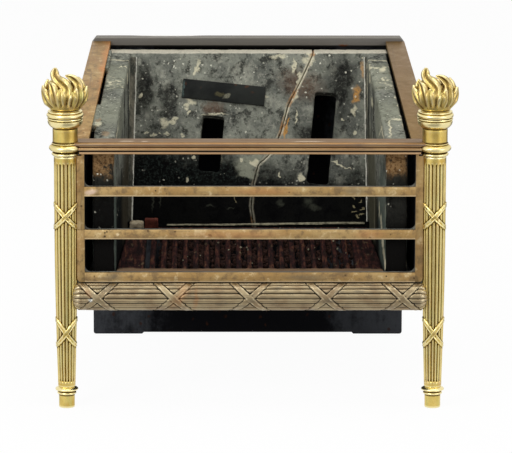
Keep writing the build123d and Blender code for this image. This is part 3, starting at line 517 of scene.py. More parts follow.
def averaged(points, edges, rounds):
    """Points moved to their neighbours' average, several times over."""
    count = len(points)
    ends = ((edges[:, 0], edges[:, 1]), (edges[:, 1], edges[:, 0]))
    share = sum(np.bincount(here, minlength=count) for here, _ in ends)
    share = np.maximum(share, 1)[:, None]
    for _ in range(rounds):
        total = [sum(np.bincount(here, points[there, axis], count) for here, there in ends)
                 for axis in range(points.shape[1])]
        points = np.stack(total, 1) / share
    return points


def mark_hollows(piece, reach, rounds):
    """Store on each point how deep it lies below the smoothed surface, as hollow."""
    mesh = piece.data
    points = points_of(mesh)
    normals = read(mesh.vertex_normals, "vector", 3)
    edges = read(mesh.edges, "vertices", 2, np.int32)
    depth = ((averaged(points, edges, rounds) - points) * normals).sum(1)
    depth = averaged(depth[:, None], edges, 1)[:, 0]
    keep(mesh, "hollow", np.clip(depth / reach, -1, 1))


def evaluated(holder, name):
    """The mesh that an object's modifiers make."""
    graph = bpy.context.evaluated_depsgraph_get()
    made = bpy.data.meshes.new_from_object(holder.evaluated_get(graph))
    made.name = name
    return made


def remeshed(name, mesh, voxel, smooth_rounds):
    """One closed skin over everything in a mesh."""
    holder = new_object(name + "_form", mesh)
    skin = holder.modifiers.new("skin", "REMESH")
    skin.mode = "VOXEL"
    skin.voxel_size = voxel
    holder.modifiers.new("ease", "SMOOTH").iterations = smooth_rounds
    made = evaluated(holder, name)
    bpy.data.objects.remove(holder)
    made.shade_smooth()
    return new_object(name, made)


def lumps(points, *layers):
    """How far each point stands out on a lumpy surface of (fineness, height) layers."""
    return np.array([[sum(noise.noise(Vector(p) * fineness) * height
                          for fineness, height in layers)] for p in points])


def fit(piece, body, slot, finish, *replaced):
    """Give a piece its finish, its body and the CAD nodes it stands for."""
    piece.data.materials.clear()
    piece.data.materials.append(finish)
    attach(piece, body)
    if replaced:
        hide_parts(*replaced)


# Edges of the CAD meshes, in degrees: joins of a flat face, edges to round over, and
# edges that stay crisp in the shading.
FLAT_JOIN, ROUNDED_OVER, CRISP = (math.radians(angle) for angle in (0.6, 32, 30))


def plain_copy(node, name, change=None):
    """The CAD node's shape as one joined, plain mesh, with a change made on the way."""
    shape = bmesh.new()
    shape.from_mesh(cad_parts[node].data)
    bmesh.ops.remove_doubles(shape, verts=shape.verts, dist=2e-6)
    if change:
        change(shape)
    mesh = bpy.data.meshes.new(name)
    shape.to_mesh(mesh)
    shape.free()
    for attribute in [a.name for a in mesh.attributes if a.name == "custom_normal"]:
        mesh.attributes.remove(mesh.attributes[attribute])
    return mesh


def softened(node, ease, slot, finish, segments=2):
    """The CAD node with its sharp edges rounded over, in the node's place."""
    def round_over(shape):
        bmesh.ops.dissolve_limit(shape, angle_limit=FLAT_JOIN, verts=shape.verts,
                                 edges=shape.edges)
        sharp = [e for e in shape.edges
                 if len(e.link_faces) == 2 and e.calc_face_angle(0) > ROUNDED_OVER]
        bmesh.ops.bevel(shape, geom=sharp, offset=ease * MM, segments=segments, profile=0.5,
                        affect="EDGES", clamp_overlap=True)
        bmesh.ops.triangulate(shape, faces=[f for f in shape.faces if len(f.verts) > 4])

    mesh = plain_copy(node, node + "_eased", round_over)
    mesh.shade_smooth()
    mesh.set_sharp_from_angle(angle=CRISP)
    fit(new_object(node + "_eased", mesh), "frame", slot, finish, node)


def through(rows, count):
    """A smooth run of count points through the rows of a table."""
    rows = np.asarray(rows, float)
    padded = np.vstack([2 * rows[0] - rows[1], rows, 2 * rows[-1] - rows[-2]])
    where = np.linspace(0, len(rows) - 1, count)
    index = np.minimum(where.astype(int), len(rows) - 2)
    t = (where - index)[:, None]
    a, b, c, d = (padded[index + n] for n in range(4))
    return 0.5 * (2 * b + (c - a) * t + (2 * a - 5 * b + 4 * c - d) * t**2
                  + (3 * b - a - 3 * c + d) * t**3)


def grown(name, sizes, build):
    """A piece grown by a Geometry Nodes tree; sizes are the tree's named inputs."""
    tree = bpy.data.node_groups.new(name, "GeometryNodeTree")
    face = tree.interface
    face.new_socket("Geometry", in_out="INPUT", socket_type="NodeSocketGeometry")
    face.new_socket("Geometry", in_out="OUTPUT", socket_type="NodeSocketGeometry")
    kinds = {float: "NodeSocketFloat", int: "NodeSocketInt"}
    for label, value in sizes.items():
        kind = kinds.get(type(value), "NodeSocketMaterial")
        face.new_socket(label, in_out="INPUT", socket_type=kind)
    entry = tree.nodes.new("NodeGroupInput")
    shape = build(tree, {label: Field(tree, entry.outputs[label]) for label in sizes})
    shape = step(tree, "GeometryNodeRealizeInstances", {0: shape})
    finish = Field(tree, entry.outputs["Finish"])
    shape = step(tree, "GeometryNodeSetMaterial", {"Geometry": shape, "Material": finish})
    feed(tree, tree.nodes.new("NodeGroupOutput").inputs[0], shape)
    holder = new_object(name, bpy.data.meshes.new(name + "_seed"))
    grower = holder.modifiers.new("grow", "NODES")
    grower.node_group = tree
    for item in face.items_tree:
        if item.item_type == "SOCKET" and item.in_out == "INPUT" and item.name in sizes:
            grower[item.identifier] = sizes[item.name]
    made = evaluated(holder, name)
    holder.modifiers.remove(grower)
    holder.data = made
    return holder


def shaped(tree, shape, change, x, y, z):
    """A grown shape with its points moved, put in its place and shaded smooth."""
    moved = step(tree, "GeometryNodeSetPosition", {"Geometry": shape, **change})
    moved = step(tree, "GeometryNodeTransform",
                 {"Geometry": moved, "Translation": vector(tree, x, y, z)})
    return step(tree, "GeometryNodeSetShadeSmooth", {"Geometry": moved})


def ribbons(crossings, edge):
    """Rise and cover of crossed ribbons, from the distance and detail of each."""
    ribbon, cover = None, None
    for gap, detail in crossings:
        rise = gap.ease(edge, edge * 0.84) * detail
        near = gap.ease(edge * 1.4, edge * 1.08)
        ribbon = rise if ribbon is None else ribbon.most(rise)
        cover = near if cover is None else cover.most(near)
    return ribbon, cover


def tube_of(tree, around, along, length):
    """A tube of radius 1 about Z, with x, y, z and the radius at each of its points."""
    tube = step(tree, "GeometryNodeMeshCylinder",
                {"Vertices": around, "Side Segments": along, "Fill Segments": 1,
                 "Radius": 1.0, "Depth": length}, fill_type="NGON")
    x, y, z = step(tree, "GeometryNodeInputPosition", {}).parts()
    return tube, x, y, z, (x * x + y * y).root()


# ---------- Columns ----------
def shaft_tree(tree, given):
    """A swelling shaft with round-ended flutes and two pairs of crossed ribbons."""
    length = given["Length"]
    tube, x, y, z, rim = tube_of(tree, 252, 340, length)
    low = z + length * 0.5
    angle = x.calc("ARCTAN2", y * -1.0)
    short = (1.0 - low / length / given["Swell end"]).most(0.0)
    radius = given["Head radius"] - (given["Head radius"] - given["Foot radius"]) * short * short
    turn = angle * given["Flutes"] / (2 * math.pi) + given["Flute start"]
    across = abs(turn - turn.calc("ROUND")) * (radius * 2 * math.pi) / given["Flutes"]
    half = given["Flute width"] * 0.5
    past = (low - (length - given["Collar"] - half)).most(given["Foot collar"] + half - low)
    past = past.most(0.0)
    away = (across * across + past * past).root()
    flute = away.ease(0.0, half, 1.0, 0.0) * 0.6 + away.ease(half * 0.6, half * 1.08, 0.4, 0.0)
    edge = given["Tie width"] * 0.5
    crossings = []
    for tie, base in (("Lower", 0.5), ("Lower", 0.28), ("Upper", 0.5), ("Upper", 0.28)):
        side = 1 if base == 0.5 else -1
        slope = given[tie + " slope"]
        run = low - given[tie + " tie"] - angle.sin() * radius * (slope * side)
        tilt = angle.cos() * slope
        gap = abs(run / (tilt * tilt + 1.0).root())
        border = gap.ease(edge * 0.42, edge * 0.62)
        beads = ((angle * 13.0 * side).sin() * 0.5 + 0.5) * gap.ease(edge * 0.4, edge * 0.15)
        crossings.append((gap, border * 0.5 + beads * 0.45 + base))
    ribbon, cover = ribbons(crossings, edge)
    depth = flute * (1.0 - cover) * given["Flute depth"]
    groove = (cover * (1.0 - ribbon.ease(0.0, 0.35))) * given["Flute depth"] * 0.6
    dents = (step(tree, "ShaderNodeTexNoise", {"Scale": 160.0, "Detail": 2.0}) - 0.5) * 0.00022
    wall = radius - depth - groove + ribbon * given["Tie rise"] + dents
    side_edge = low.least(length - low).ease(0.0, 0.0009, 0.0007, 0.0)
    spread = (wall * rim.ease(0.5, 0.99) - side_edge) / rim.most(0.001)
    return shaped(tree, tube, {"Position": vector(tree, x * spread, y * spread, z)},
                  given["Axis X"], given["Axis Y"], given["Low"] + length * 0.5)


# The shaft's plain collar also covers the iron grid's ear, up to the capital.
EAR = 2.9 * MM
for tag, axis_x in COLUMNS.items():
    low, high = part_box("shaft_" + tag)
    shaft = grown("fluted_shaft_" + tag, {
        "Axis X": axis_x, "Axis Y": AXIS_Y, "Low": low.z, "Length": high.z + EAR - low.z,
        "Foot radius": 9.3 * MM, "Head radius": 12.3 * MM, "Swell end": 0.75, "Flutes": 18.0,
        "Flute start": 0.32 if tag == "left" else 0.7, "Flute width": 2.45 * MM,
        "Flute depth": 1.1 * MM, "Foot collar": 6.0 * MM, "Collar": EAR + 4.6 * MM,
        "Lower tie": 60.0 * MM, "Upper tie": 188.0 * MM, "Lower slope": 1.3, "Upper slope": 1.02,
        "Tie width": 4.9 * MM, "Tie rise": 0.95 * MM, "Finish": column_brass,
    }, shaft_tree)
    mark_hollows(shaft, 0.36 * MM, 10)
    fit(shaft, "frame", "polished_brass", column_brass, "shaft_" + tag)


def arc(start, end, bulge, count=9):
    """Points of a rounded bead from start to end that stands out by bulge."""
    start, end = np.array(start), np.array(end)
    out = np.array([end[1] - start[1], start[0] - end[0]])
    out = out / np.linalg.norm(out)
    t = np.linspace(0, 1, count)[:, None]
    return start + (end - start) * t + out * np.sin(np.pi * t) ** 0.8 * bulge


def lathed(name, axis_x, low, profile, bore):
    """A turned piece from (radius, height) points in millimetres above its foot."""
    turns = 128
    rim = np.vstack([np.atleast_2d(p) for p in profile])
    rim = rim[np.r_[True, np.linalg.norm(np.diff(rim, axis=0), axis=1) > 0.02]]
    rows = [rim[0]]
    for a, b in zip(rim[:-1], rim[1:]):
        pieces = max(1, int(np.linalg.norm(b - a) / 0.7))
        rows += [a + (b - a) * n / pieces for n in range(1, pieces + 1)]
    rim = np.vstack([[bore, rows[0][1]], rows, [bore, rows[-1][1]]])
    angles = np.linspace(0, 2 * math.pi, turns, endpoint=False)
    radius, height = rim[:, :1] * MM, rim[:, 1:] * MM + low
    points = np.stack([axis_x + radius * np.cos(angles), AXIS_Y + radius * np.sin(angles),
                       np.repeat(height, turns, 1)], axis=2).reshape(-1, 3)
    mesh = mesh_from(name, points, ring_faces(len(rim), turns, "joined"))
    mesh.shade_smooth()
    mesh.set_sharp_from_angle(angle=math.radians(42))
    return new_object(name, mesh)


CAPITAL = [
    (12.2, 0.0), (13.0, 0.1), arc((13.4, 0.3), (13.4, 3.6), 1.25), (12.8, 3.9), (12.7, 4.5),
    (13.9, 4.9), arc((15.0, 5.3), (15.0, 11.9), 2.5, 17), (14.3, 12.3), (14.0, 12.6),
    arc((14.2, 12.8), (14.0, 14.0), 0.5, 5), (13.6, 14.4), (13.5, 15.5), (13.4, 21.0),
    (13.5, 28.6), (13.2, 29.7), (13.1, 30.2), (13.9, 30.4), (15.6, 31.6), (17.2, 33.2),
    (18.1, 34.8), (18.6, 36.4), (18.65, 38.1), (18.2, 38.6), (17.3, 38.8), (17.3, 39.3),
    (18.6, 39.5), (19.1, 40.1), (18.95, 41.0), (18.0, 41.3), (17.8, 41.6), (18.4, 41.9),
    arc((18.6, 42.0), (18.6, 46.2), 1.15, 11), (18.1, 46.4), (17.9, 46.7),
    arc((18.2, 46.9), (17.2, 48.9), 0.8, 7), (16.2, 49.2), (16.0, 49.5), (15.0, 49.6),
]
FOOT = [
    (8.1, 0.0), (8.5, 0.35), (8.55, 13.9), arc((8.7, 14.2), (8.7, 17.5), 1.6), (8.9, 17.7),
    arc((9.1, 17.9), (9.2, 22.3), 3.2, 13), (8.8, 22.5),
]
for tag, axis_x in COLUMNS.items():
    for part, low, profile, bore in (
            ("capital_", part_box("capital_" + tag)[0].z, CAPITAL, 3.3), ("foot_", 0.0, FOOT, 6.0)):
        turned_part = lathed("turned_" + part + tag, axis_x, low, profile, bore)
        mark_hollows(turned_part, 0.3 * MM, 6)
        fit(turned_part, "frame", "polished_brass", column_brass, part + tag)


# ---------- Flame finials ----------
def tongue(rows):
    """One gouged flame tongue; its rows are (right, front, height, half width) of its face."""
    table = through(rows, 44)
    spine = table[:, :3] * (1, -1, 1)
    flat = spine * (1, 1, 0)
    outward = flat / np.maximum(np.linalg.norm(flat, axis=1), 1e-6)[:, None]
    upper = np.clip((spine[:, 2:3] - 24.0) / 10.0, 0, 1) * (np.max(table[:, 2]) > 34.0)
    outward = outward * (1 - upper) + np.array([0.0, -1.0, 0.0]) * upper
    outward /= np.linalg.norm(outward, axis=1)[:, None]
    along = np.gradient(spine, axis=0)
    along /= np.linalg.norm(along, axis=1)[:, None]
    out = outward - along * (outward * along).sum(1)[:, None]
    out /= np.linalg.norm(out, axis=1)[:, None]
    side = np.cross(along, out)
    around = np.linspace(0, 2 * math.pi, 36, endpoint=False)
    across = np.cos(around)
    crown = np.sqrt(np.maximum(1 - across**2, 0))
    gouge = 1 - 0.62 * np.exp(-((across / 0.4) ** 2))
    rise = np.where(np.sin(around) > 0, crown * gouge, -0.9 * crown)
    width = table[:, 3:4]
    depth = 0.55 * width + 1.1 * np.minimum(width / 2, 1)
    spine = spine - out * depth * 0.9
    rings = (spine[:, None] + side[:, None] * (width * across)[:, :, None]
             + out[:, None] * (depth * rise)[:, :, None])
    return rings.reshape(-1, 3), ring_faces(*rings.shape[:2])


TONGUES = [
    [(1.8, 17, 2, 4.6), (3, 22.5, 12, 5.8), (3, 23.5, 19, 6), (2, 20.5, 25.5, 6.4),
     (-3.1, 16.5, 30, 6.8), (-8.2, 11, 34.3, 6.2), (-10.4, 7, 38.5, 5.2), (-10.2, 5, 42.4, 4.2),
     (-9.7, 4, 46.0, 1.4)],
    [(-8, 15, 1.5, 4.6), (-11.2, 20.5, 11, 6.2), (-13.4, 20, 20, 6.6), (-15.2, 16, 27, 5.4),
     (-17, 12.5, 31.5, 1.4)],
    [(-11.3, 12, 1.0, 4.6), (-18.8, 15, 8.5, 6.2), (-23.0, 11.5, 15, 6.4), (-25.2, 6, 21, 5.2),
     (-24.8, 3, 26.5, 1.6)],
    [(-12, -6, 1.0, 4.6), (-19, -9, 10, 6), (-22.8, -9, 19, 6.2), (-22, -7, 27, 4.8),
     (-19.5, -5, 32.3, 1.4)],
    [(7.2, 15, 1.6, 4.2), (8.8, 21.5, 10.5, 5), (9.9, 23, 16.5, 4.6), (9.0, 20.5, 22.5, 1.4)],
    [(12.0, 12, 1.5, 4.8), (16.9, 17, 11, 6.4), (17.8, 17, 20, 7), (15.8, 14, 27.3, 6.4),
     (11.6, 11, 32.2, 5.2), (6.4, 9, 35.8, 3.8), (0.4, 7, 37.8, 1.1)],
    [(14.6, 8, 1.0, 4.6), (22.2, 9.5, 10, 6), (25.2, 6, 18, 5.6), (25.0, 3, 26, 1.5)],
    [(-3.1, 16, 1.6, 4), (-4.4, 23, 11, 4.6), (-5, 23.6, 18.5, 4.4), (-3.6, 20, 26, 1.3)],
]
BACK_TONGUE = [(0, 11.5, 0.5, 4), (-3, 20, 7, 6), (-3, 24.5, 16, 6.4), (2, 21.5, 25, 5.4),
               (8, 16, 32, 1.4)]


FLAME_REACH = 26.0 * MM


def turned(points, degrees):
    """Points turned about the upright axis, anticlockwise from above."""
    turn = math.radians(degrees)
    cosine, sine = math.cos(turn), math.sin(turn)
    return points @ np.array([[cosine, sine, 0], [-sine, cosine, 0], [0, 0, 1]])


def flame(name, axis_x, low, turn):
    """A bulb of flame tongues, one standing tall and one curling over the top."""
    points, faces = [], []

    def add(made):
        start = sum(len(p) for p in points)
        points.append(made[0])
        faces.extend(tuple(v + start for v in f) for f in made[1])

    core = through([(0, 0.2), (14.5, 0.2), (18.4, 6.0), (19.2, 14.0), (17.4, 22.0),
                    (12.0, 28.0), (5, 30.5), (0, 31)], 30)
    angles = np.linspace(0, 2 * math.pi, 40, endpoint=False)
    rings = np.stack([core[:, 0:1] * np.cos(angles), core[:, 0:1] * np.sin(angles),
                      np.repeat(core[:, 1:2], 40, 1)], 2)
    add((rings.reshape(-1, 3), ring_faces(30, 40, "open")))
    for rows in TONGUES:
        add(tongue(rows))
    for n, bearing in enumerate((8, 38, 66, 95, 122, 150)):
        lift = 1.0 + 0.08 * math.sin(2.3 * n + 0.6)
        made, skin = tongue([(a, r, z * lift, w) for a, r, z, w in BACK_TONGUE])
        add((turned(made, bearing + 90), skin))
    place = turned(np.vstack(points), turn) * MM + (axis_x, AXIS_Y, low)
    made = remeshed(name, mesh_from(name + "_parts", place, faces), 0.5 * MM, 2)
    eased = points_of(made.data)
    eased[:, 2] = np.maximum(eased[:, 2], low)
    reach = np.hypot(eased[:, 0] - axis_x, eased[:, 1] - AXIS_Y)
    pull = np.minimum(1.0, FLAME_REACH / np.maximum(reach, 1e-6))
    eased[:, 0] = axis_x + (eased[:, 0] - axis_x) * pull
    eased[:, 1] = AXIS_Y + (eased[:, 1] - AXIS_Y) * pull
    set_points(made.data, eased)
    return made


for tag, turn in (("left", 0.0), ("right", -8.0)):
    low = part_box("flame_" + tag)[0].z
    finial = flame("flame_finial_" + tag, COLUMNS[tag], low, turn)
    mark_hollows(finial, 0.9 * MM, 24)
    fit(finial, "frame", "polished_brass", flame_brass, "flame_" + tag)


# ---------- Reeded rail ----------
# The reeds cover this share of the rail's round; the rest is its flat back.
REED_ARC = 0.76


def reeded_tree(tree, given):
    """A half-round rail of reeds, tied at even steps by crossed ribbons, with domed ends."""
    length = given["Length"]
    tube, x, y, along, rim = tube_of(tree, 196, 440, length)
    share = y.calc("ARCTAN2", x) / (REED_ARC * math.pi)
    front = share.most(-1.0).least(1.0) * (math.pi / 2)
    behind = (abs(share) - 1.0).most(0.0) / (1 / REED_ARC - 1.0)
    reed = given["Reeds"] * (front / math.pi + 0.5)
    centred = (reed - reed.calc("FLOOR") - 0.5) * 2.0
    crown = (1.0 - centred * centred).most(0.0).root()
    wander = step(tree, "ShaderNodeTexNoise",
                  {"Vector": vector(tree, along, reed * 0.02, 0.0), "Scale": 22.0, "Detail": 2.0})
    body = given["Radius"] - (1.0 - crown) * given["Reed depth"] * (wander * 0.6 + 0.72)
    beat = along / given["Tie pitch"]
    offset = (beat - beat.calc("ROUND")) * given["Tie pitch"]
    edge = given["Tie width"] * 0.5
    slope = (front.cos() * 0.5 + 0.32) * given["Tie reach"] / given["Radius"]
    crossings = []
    for side, base in ((1, 1.0), (-1, 0.55)):
        lean = (front.sin() * 0.5 + front / math.pi) * given["Tie reach"] * side
        gap = abs(offset + lean) / (slope * slope + 1.0).root()
        border = gap.ease(edge * 0.6, edge * 0.76) * 0.35
        dot = (front * 11.0 * side + beat * 40.0).sin() * gap.ease(edge * 0.5, edge * 0.2) * 0.12
        crossings.append((gap, border + dot + base))
    ribbon, cover = ribbons(crossings, edge)
    tied = ribbon.ease(0.0, 0.4)
    level = given["Radius"] - given["Reed depth"] * 0.35
    wall = body + (level - body) * tied - cover * (1.0 - tied) * given["Reed depth"] * 0.45
    scale = step(tree, "ShaderNodeTexNoise", {"Scale": 120.0, "Detail": 3.0}) - 0.5
    wall = wall + ribbon * given["Tie rise"] + scale * 0.0005
    end = (abs(along) - (length * 0.5 - given["End round"])).most(0.0) / given["End round"]
    radius = wall * (1.0 - end * end * 0.34) * rim.ease(0.3, 0.99)
    depth = front.cos() * radius * (1.0 - behind.ease(0.0, 0.02))
    height = front.sin() * radius * (1.0 - behind)
    back = given["Back"] - depth
    clear, rear = given["Shaft clearance"], back - given["Column Y"]
    limit = given["Column X"] - (clear * clear - rear * rear).most(0.0).root()
    place = vector(tree, along.least(limit).most(limit * -1.0), back, height)
    return shaped(tree, tube, {"Position": place}, 0.0, 0.0, given["Centre Z"])


low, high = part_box("reeded_rail")
reeded = grown("reeded_rail_cast", {
    "Length": high.x - low.x, "Radius": 15.2 * MM, "Reeds": 8.0, "Reed depth": 2.1 * MM,
    "Tie pitch": 81.8 * MM, "Tie width": 6.8 * MM, "Tie reach": 19.0 * MM,
    "Tie rise": 0.85 * MM, "End round": 8.0 * MM, "Back": high.y,
    "Centre Z": (low.z + high.z) / 2, "Column X": HALF_SPACING, "Column Y": AXIS_Y,
    "Shaft clearance": 12.0 * MM, "Finish": rail_bronze,
}, reeded_tree)
shape = bmesh.new()
shape.from_mesh(reeded.data)
bmesh.ops.remove_doubles(shape, verts=shape.verts, dist=1e-5)
bmesh.ops.recalc_face_normals(shape, faces=shape.faces)
shape.to_mesh(reeded.data)
shape.free()
mark_hollows(reeded, 0.55 * MM, 8)
fit(reeded, "frame", "antique_brass", rail_bronze, "reeded_rail")


# ---------- Front bars, mouldings, rails and ironwork ----------
for ease, slot, finish, segments, names in (
        (0.55, "facing_brass", bar_brass, 3, BARS),
        (0.55, "facing_brass", stile_brass, 3,
         ("stile_left_lower", "stile_left_upper", "stile_right")),
        (0.5, "facing_brass", moulding_brass, 3, ("top_rail",)),
        (0.9, "facing_brass", rail_brass, 3, ("side_rail_left", "side_rail_right")),
        (0.5, "black_iron", grid_iron, 2, ("iron_grid",)),
        (0.6, "black_iron", plate_iron, 2,
         ("cheek_left", "cheek_right", "back_plate", "slab_bearer")),
        (0.6, "black_iron", strip_iron, 2, ("iron_strip",))):
    for name in names:
        softened(name, ease, slot, finish, segments)


# ---------- Fireclay liner ----------
PALE, DARK = (206, 200, 172), (24, 24, 23)
# The side slabs, in millimetres: half the gap between them narrows to the back
# by NARROWING over NARROWING_RUN, and their tops rise by SLAB_RISE over SLAB_RUN.
# Pale flecks lie along the right one's top, FLECK_LINE out from the gap.
HALF_GAP, NARROWING, GAP_FRONT, NARROWING_RUN = 145.5, 12.6, 6.0, 308.0
SLAB_TOP, SLAB_RISE, SLAB_FRONT, SLAB_RUN = 291.6, 52.6, 16.0, 320.0
SLAB_THICK, FLECK_LINE = 23.5, 22.5


def half_gap(depth, added=0.0):
    """Half the width between the side slabs, at a depth behind the columns."""
    return HALF_GAP + added - NARROWING * (depth - GAP_FRONT) / NARROWING_RUN


def fireclay(name, early, late, grain, runs_size, ends=False):
    """Sooty fireclay: grey green bloom, black low down from soot and painted shade, pale cement and
    chips.
    """
    finish = Finish(name, (134, 136, 124), roughness=0.93, gloss=0.05)
    x, y, z = finish.place.parts()
    broad = finish.noise(0.045, 5.0, 0.62)
    mid = finish.noise(0.013, 6.0, 0.7)
    fine = finish.noise(0.0026, 4.0, 0.72)
    runs = finish.noise(runs_size, 5.0, 0.65, grain)
    finish.coats((broad, 0.38, 0.62, 1.0, (96, 98, 91)),
                 (mid, 0.5, 0.62, 0.85, (40, 41, 38)),
                 (runs, 0.52, 0.66, 0.6, (156, 156, 142)),
                 (runs, 0.44, 0.32, 0.7, (58, 60, 54)),
                 (fine, 0.56, 0.7, 0.6, (172, 168, 154)),
                 (fine, 0.44, 0.32, 0.6, (36, 36, 34)))
    ragged = finish.shaken(0.012, 0.007)
    finish.marks(ragged, early, fine.ease(0.36, 0.5, 0.3, 1.0))
    # Soot and painted shade from the front bars blacken the lower part, higher on the left than on
    # the right.
    lift = x.ease(-0.06, 0.03, 0.02, -0.004)
    soot_and_shade = (z - lift + (broad - 0.5) * 0.06 + (mid - 0.5) * 0.04).ease(0.226, 0.192)
    mottled = fine.ease(0.46, 0.66) * z.ease(0.184, 0.2) * 0.8
    finish.lay(soot_and_shade * 0.985, finish.mix(mottled, (3, 3, 4), (44, 52, 48)))
    inside = ()
    if ends:
        # The slabs' front ends are black, with a scab of burnt-on crust.
        end, past_end = AXIS_Y + 0.0075, AXIS_Y + 0.0085
        inside = (y.ease(end, past_end),)
        front = (y + (fine - 0.5) * 0.002).ease(past_end, end)
        finish.lay(front * z.ease(0.292, 0.286) * 0.92, (13, 12, 11))
        crust = finish.mix(fine.ease(0.42, 0.62), (142, 112, 76), (92, 66, 40))
        scab = ((0.0, AXIS_Y + 0.004, 0.267), (FAR, 0.012, 0.014), 0.0, 0.5)
        finish.marks(finish.shaken(0.022, 0.008), [(crust, 0.9, [scab])], mid.ease(0.36, 0.48))
    else:
        # Cement in the crack, and pale dust on the top.
        rift = finish.stored("rift")
        edge = (rift + (mid - 0.5) * 0.004).ease(0.0034, 0.0012) * mid.ease(0.36, 0.52, 0.3, 1.0)
        warm = finish.mix(broad.ease(0.47, 0.55), (206, 200, 176), (172, 124, 74))
        finish.lay(edge * z.ease(0.2, 0.235, 0.35, 0.9), warm)
        top = finish.upward() * z.ease(0.24, 0.27)
        finish.lay(top * fine.ease(0.3, 0.55, 0.55, 0.95), (192, 186, 168))
    where = finish.noise(0.03, 3.0, 0.5, at=(0.7, 0.2, 0.9)).ease(0.46, 0.62)
    where = where * z.ease(0.186, 0.2)
    finish.lay(finish.grains(0.006, 0.004, 0.004).ease(0.22, 0.1) * where * 0.9, (214, 212, 194))
    finish.marks(ragged, late, fine.ease(0.3, 0.46, 0.35, 1.0), *inside)
    return finish.done(fine + mid * 2.0 + broad * 2.0, 0.0009, 0.8)


def upright(depth, z, half_depth, half_z, turn=0.0, side=0):
    """An oval mark on both side slabs, in millimetres behind the columns and above the floor.

    With side 1 it is on the right slab alone, and with -1 on the left one."""
    reach = 0.1 if side else FAR
    return ((side * 0.15, AXIS_Y + depth * MM, z * MM), (reach, half_depth * MM, half_z * MM),
            turn, SOFT)


def right(*numbers):
    return upright(*numbers, side=1)


def on_top(x, depth, half_x, half_depth):
    """A mark on the sloping top of a side slab, in millimetres."""
    top = SLAB_TOP + SLAB_RISE * (depth - SLAB_FRONT) / SLAB_RUN
    return ((x * MM, AXIS_Y + depth * MM, top * MM), (half_x * MM, half_depth * MM, 0.008), 0.0,
            SOFT)


back_marks = placed(flat, [
    (DARK, 0.85, [
        (-117, 298, 9, 26), (-89, 285, 10, 17, 8), (108, 309, 13, 12), (104, 292, 8, 12),
        (-92, 268, 9, 5), (76, 246, 24, 9), (-112, 230, 16, 16, 0, 0.6)]),
    (DARK, 0.5, [(99, 284, 17, 46, 4, 0.7)]),
    ((138, 140, 126), 0.8, [(-130.5, 300, 3.4, 70, 0, 0.2)]),
    ((92, 70, 56), 0.7, [(-40, 275, 12, 7), (60, 300, 22, 14, 20, 0.7)]),
    (PALE, 0.9, [
        (-121.5, 288, 2.4, 2.6), (-116, 248, 2, 1), (-108, 246, 4, 1.1), (-100, 247.5, 1.5, 1.5),
        (-92, 246.5, 4, 1.1), (-74, 246, 2, 1.4), (128.8, 329.6, 1.5, 1.5),
        (-95, 258, 6, 4.5, 30), (-86, 261, 6, 2.2, -20), (-70, 277, 3.6, 2.8),
        (-68, 270, 2.6, 2.2), (-65, 281, 6, 2.4, 20), (-38, 267.5, 13, 1.3, -4),
        (34, 330, 8, 2.2), (69, 326, 5.5, 4.5), (51.5, 320, 1.6, 8), (58, 308, 2.4, 6, 12),
        (53, 288, 3, 7, 18), (53, 266, 1.2, 8), (107, 263, 1.4, 1.4), (120, 249, 2, 1.6),
        (-58, 318, 2.4, 8, 15), (70.5, 336, 4.5, 5), (119.5, 270.6, 2.6, 6),
        (14, 288, 9, 2.4, 12), (-32.5, 234, 1.3, 15, -5)]),
    ((196, 144, 76), 0.85, [(122.5, 289, 4.6, 9, 14), (42.5, 252, 1.2, 14, 14)]),
    ((184, 148, 104), 0.8, [(131, 316, 2.6, 8)]),
])
side_marks = [
    (DARK, 0.75, [upright(262, 270, 14, 60), upright(190, 282, 8, 40)]),
    ((140, 142, 124), 0.6, [upright(120, 292, 55, 22), upright(225, 322, 60, 10)]),
    (PALE, 0.9, [
        upright(286, 250, 3.0, 90), upright(200, 322, 26, 3, 8), upright(250, 316, 10, 6),
        upright(60, 288, 26, 3, 12), right(306, 316, 9, 4, 30), right(296, 322, 8, 3, -30),
        right(300, 308, 3, 8), right(17, 207, 5, 13, 10), right(94, 284, 26, 1.5, -20),
        right(212, 296, 14, 5)]),
    ((186, 118, 60), 0.8, [right(316, 314, 5, 5)]),
]
back_late = placed(flat, [
    ((150, 152, 134), 0.8, [(-3, 214, 11, 9), (8, 221, 7, 5), (-1, 204, 10, 5)]),
    (PALE, 0.95, [
        (-68.5, 197.5, 2.6, 2.0), (-61, 221, 1.4, 1.4), (102, 214.5, 8, 0.9, 22),
        (112, 210.5, 4, 0.9, 4), (6, 216, 4, 3), (-8, 219, 1.6, 2.4), (60, 199, 3.4, 3.4),
        (36, 203, 1.4, 2.6), (88, 200, 2.0, 2.6)]),
    ((156, 146, 112), 0.85, [
        (120, 182, 0.7, 3.0, 20), (118, 178, 1.8, 0.7, 20), (127, 173.5, 2.4, 0.6, -35),
        (119, 168, 1.0, 2.4, -40), (127, 166.5, 2.2, 0.7, -25), (119, 162, 3.0, 0.6, 8),
        (128, 160, 2.4, 0.6, -30), (123, 157.5, 3.0, 0.6, 12), (-16, 177, 0.5, 5, -20)]),
    ((70, 72, 62), 0.6, [
        (68, 174, 5, 4, 0, 0.8), (74, 168, 5, 2.4, 0, 0.8), (36, 172, 2.6, 4, 0, 0.8),
        (-44, 170, 4, 0.8, 0, 0.8), (-20, 168, 3, 0.8, 0, 0.8), (-100, 178, 1, 8, 0, 0.8),
        (-108, 174, 1, 9, 0, 0.8)]),
])
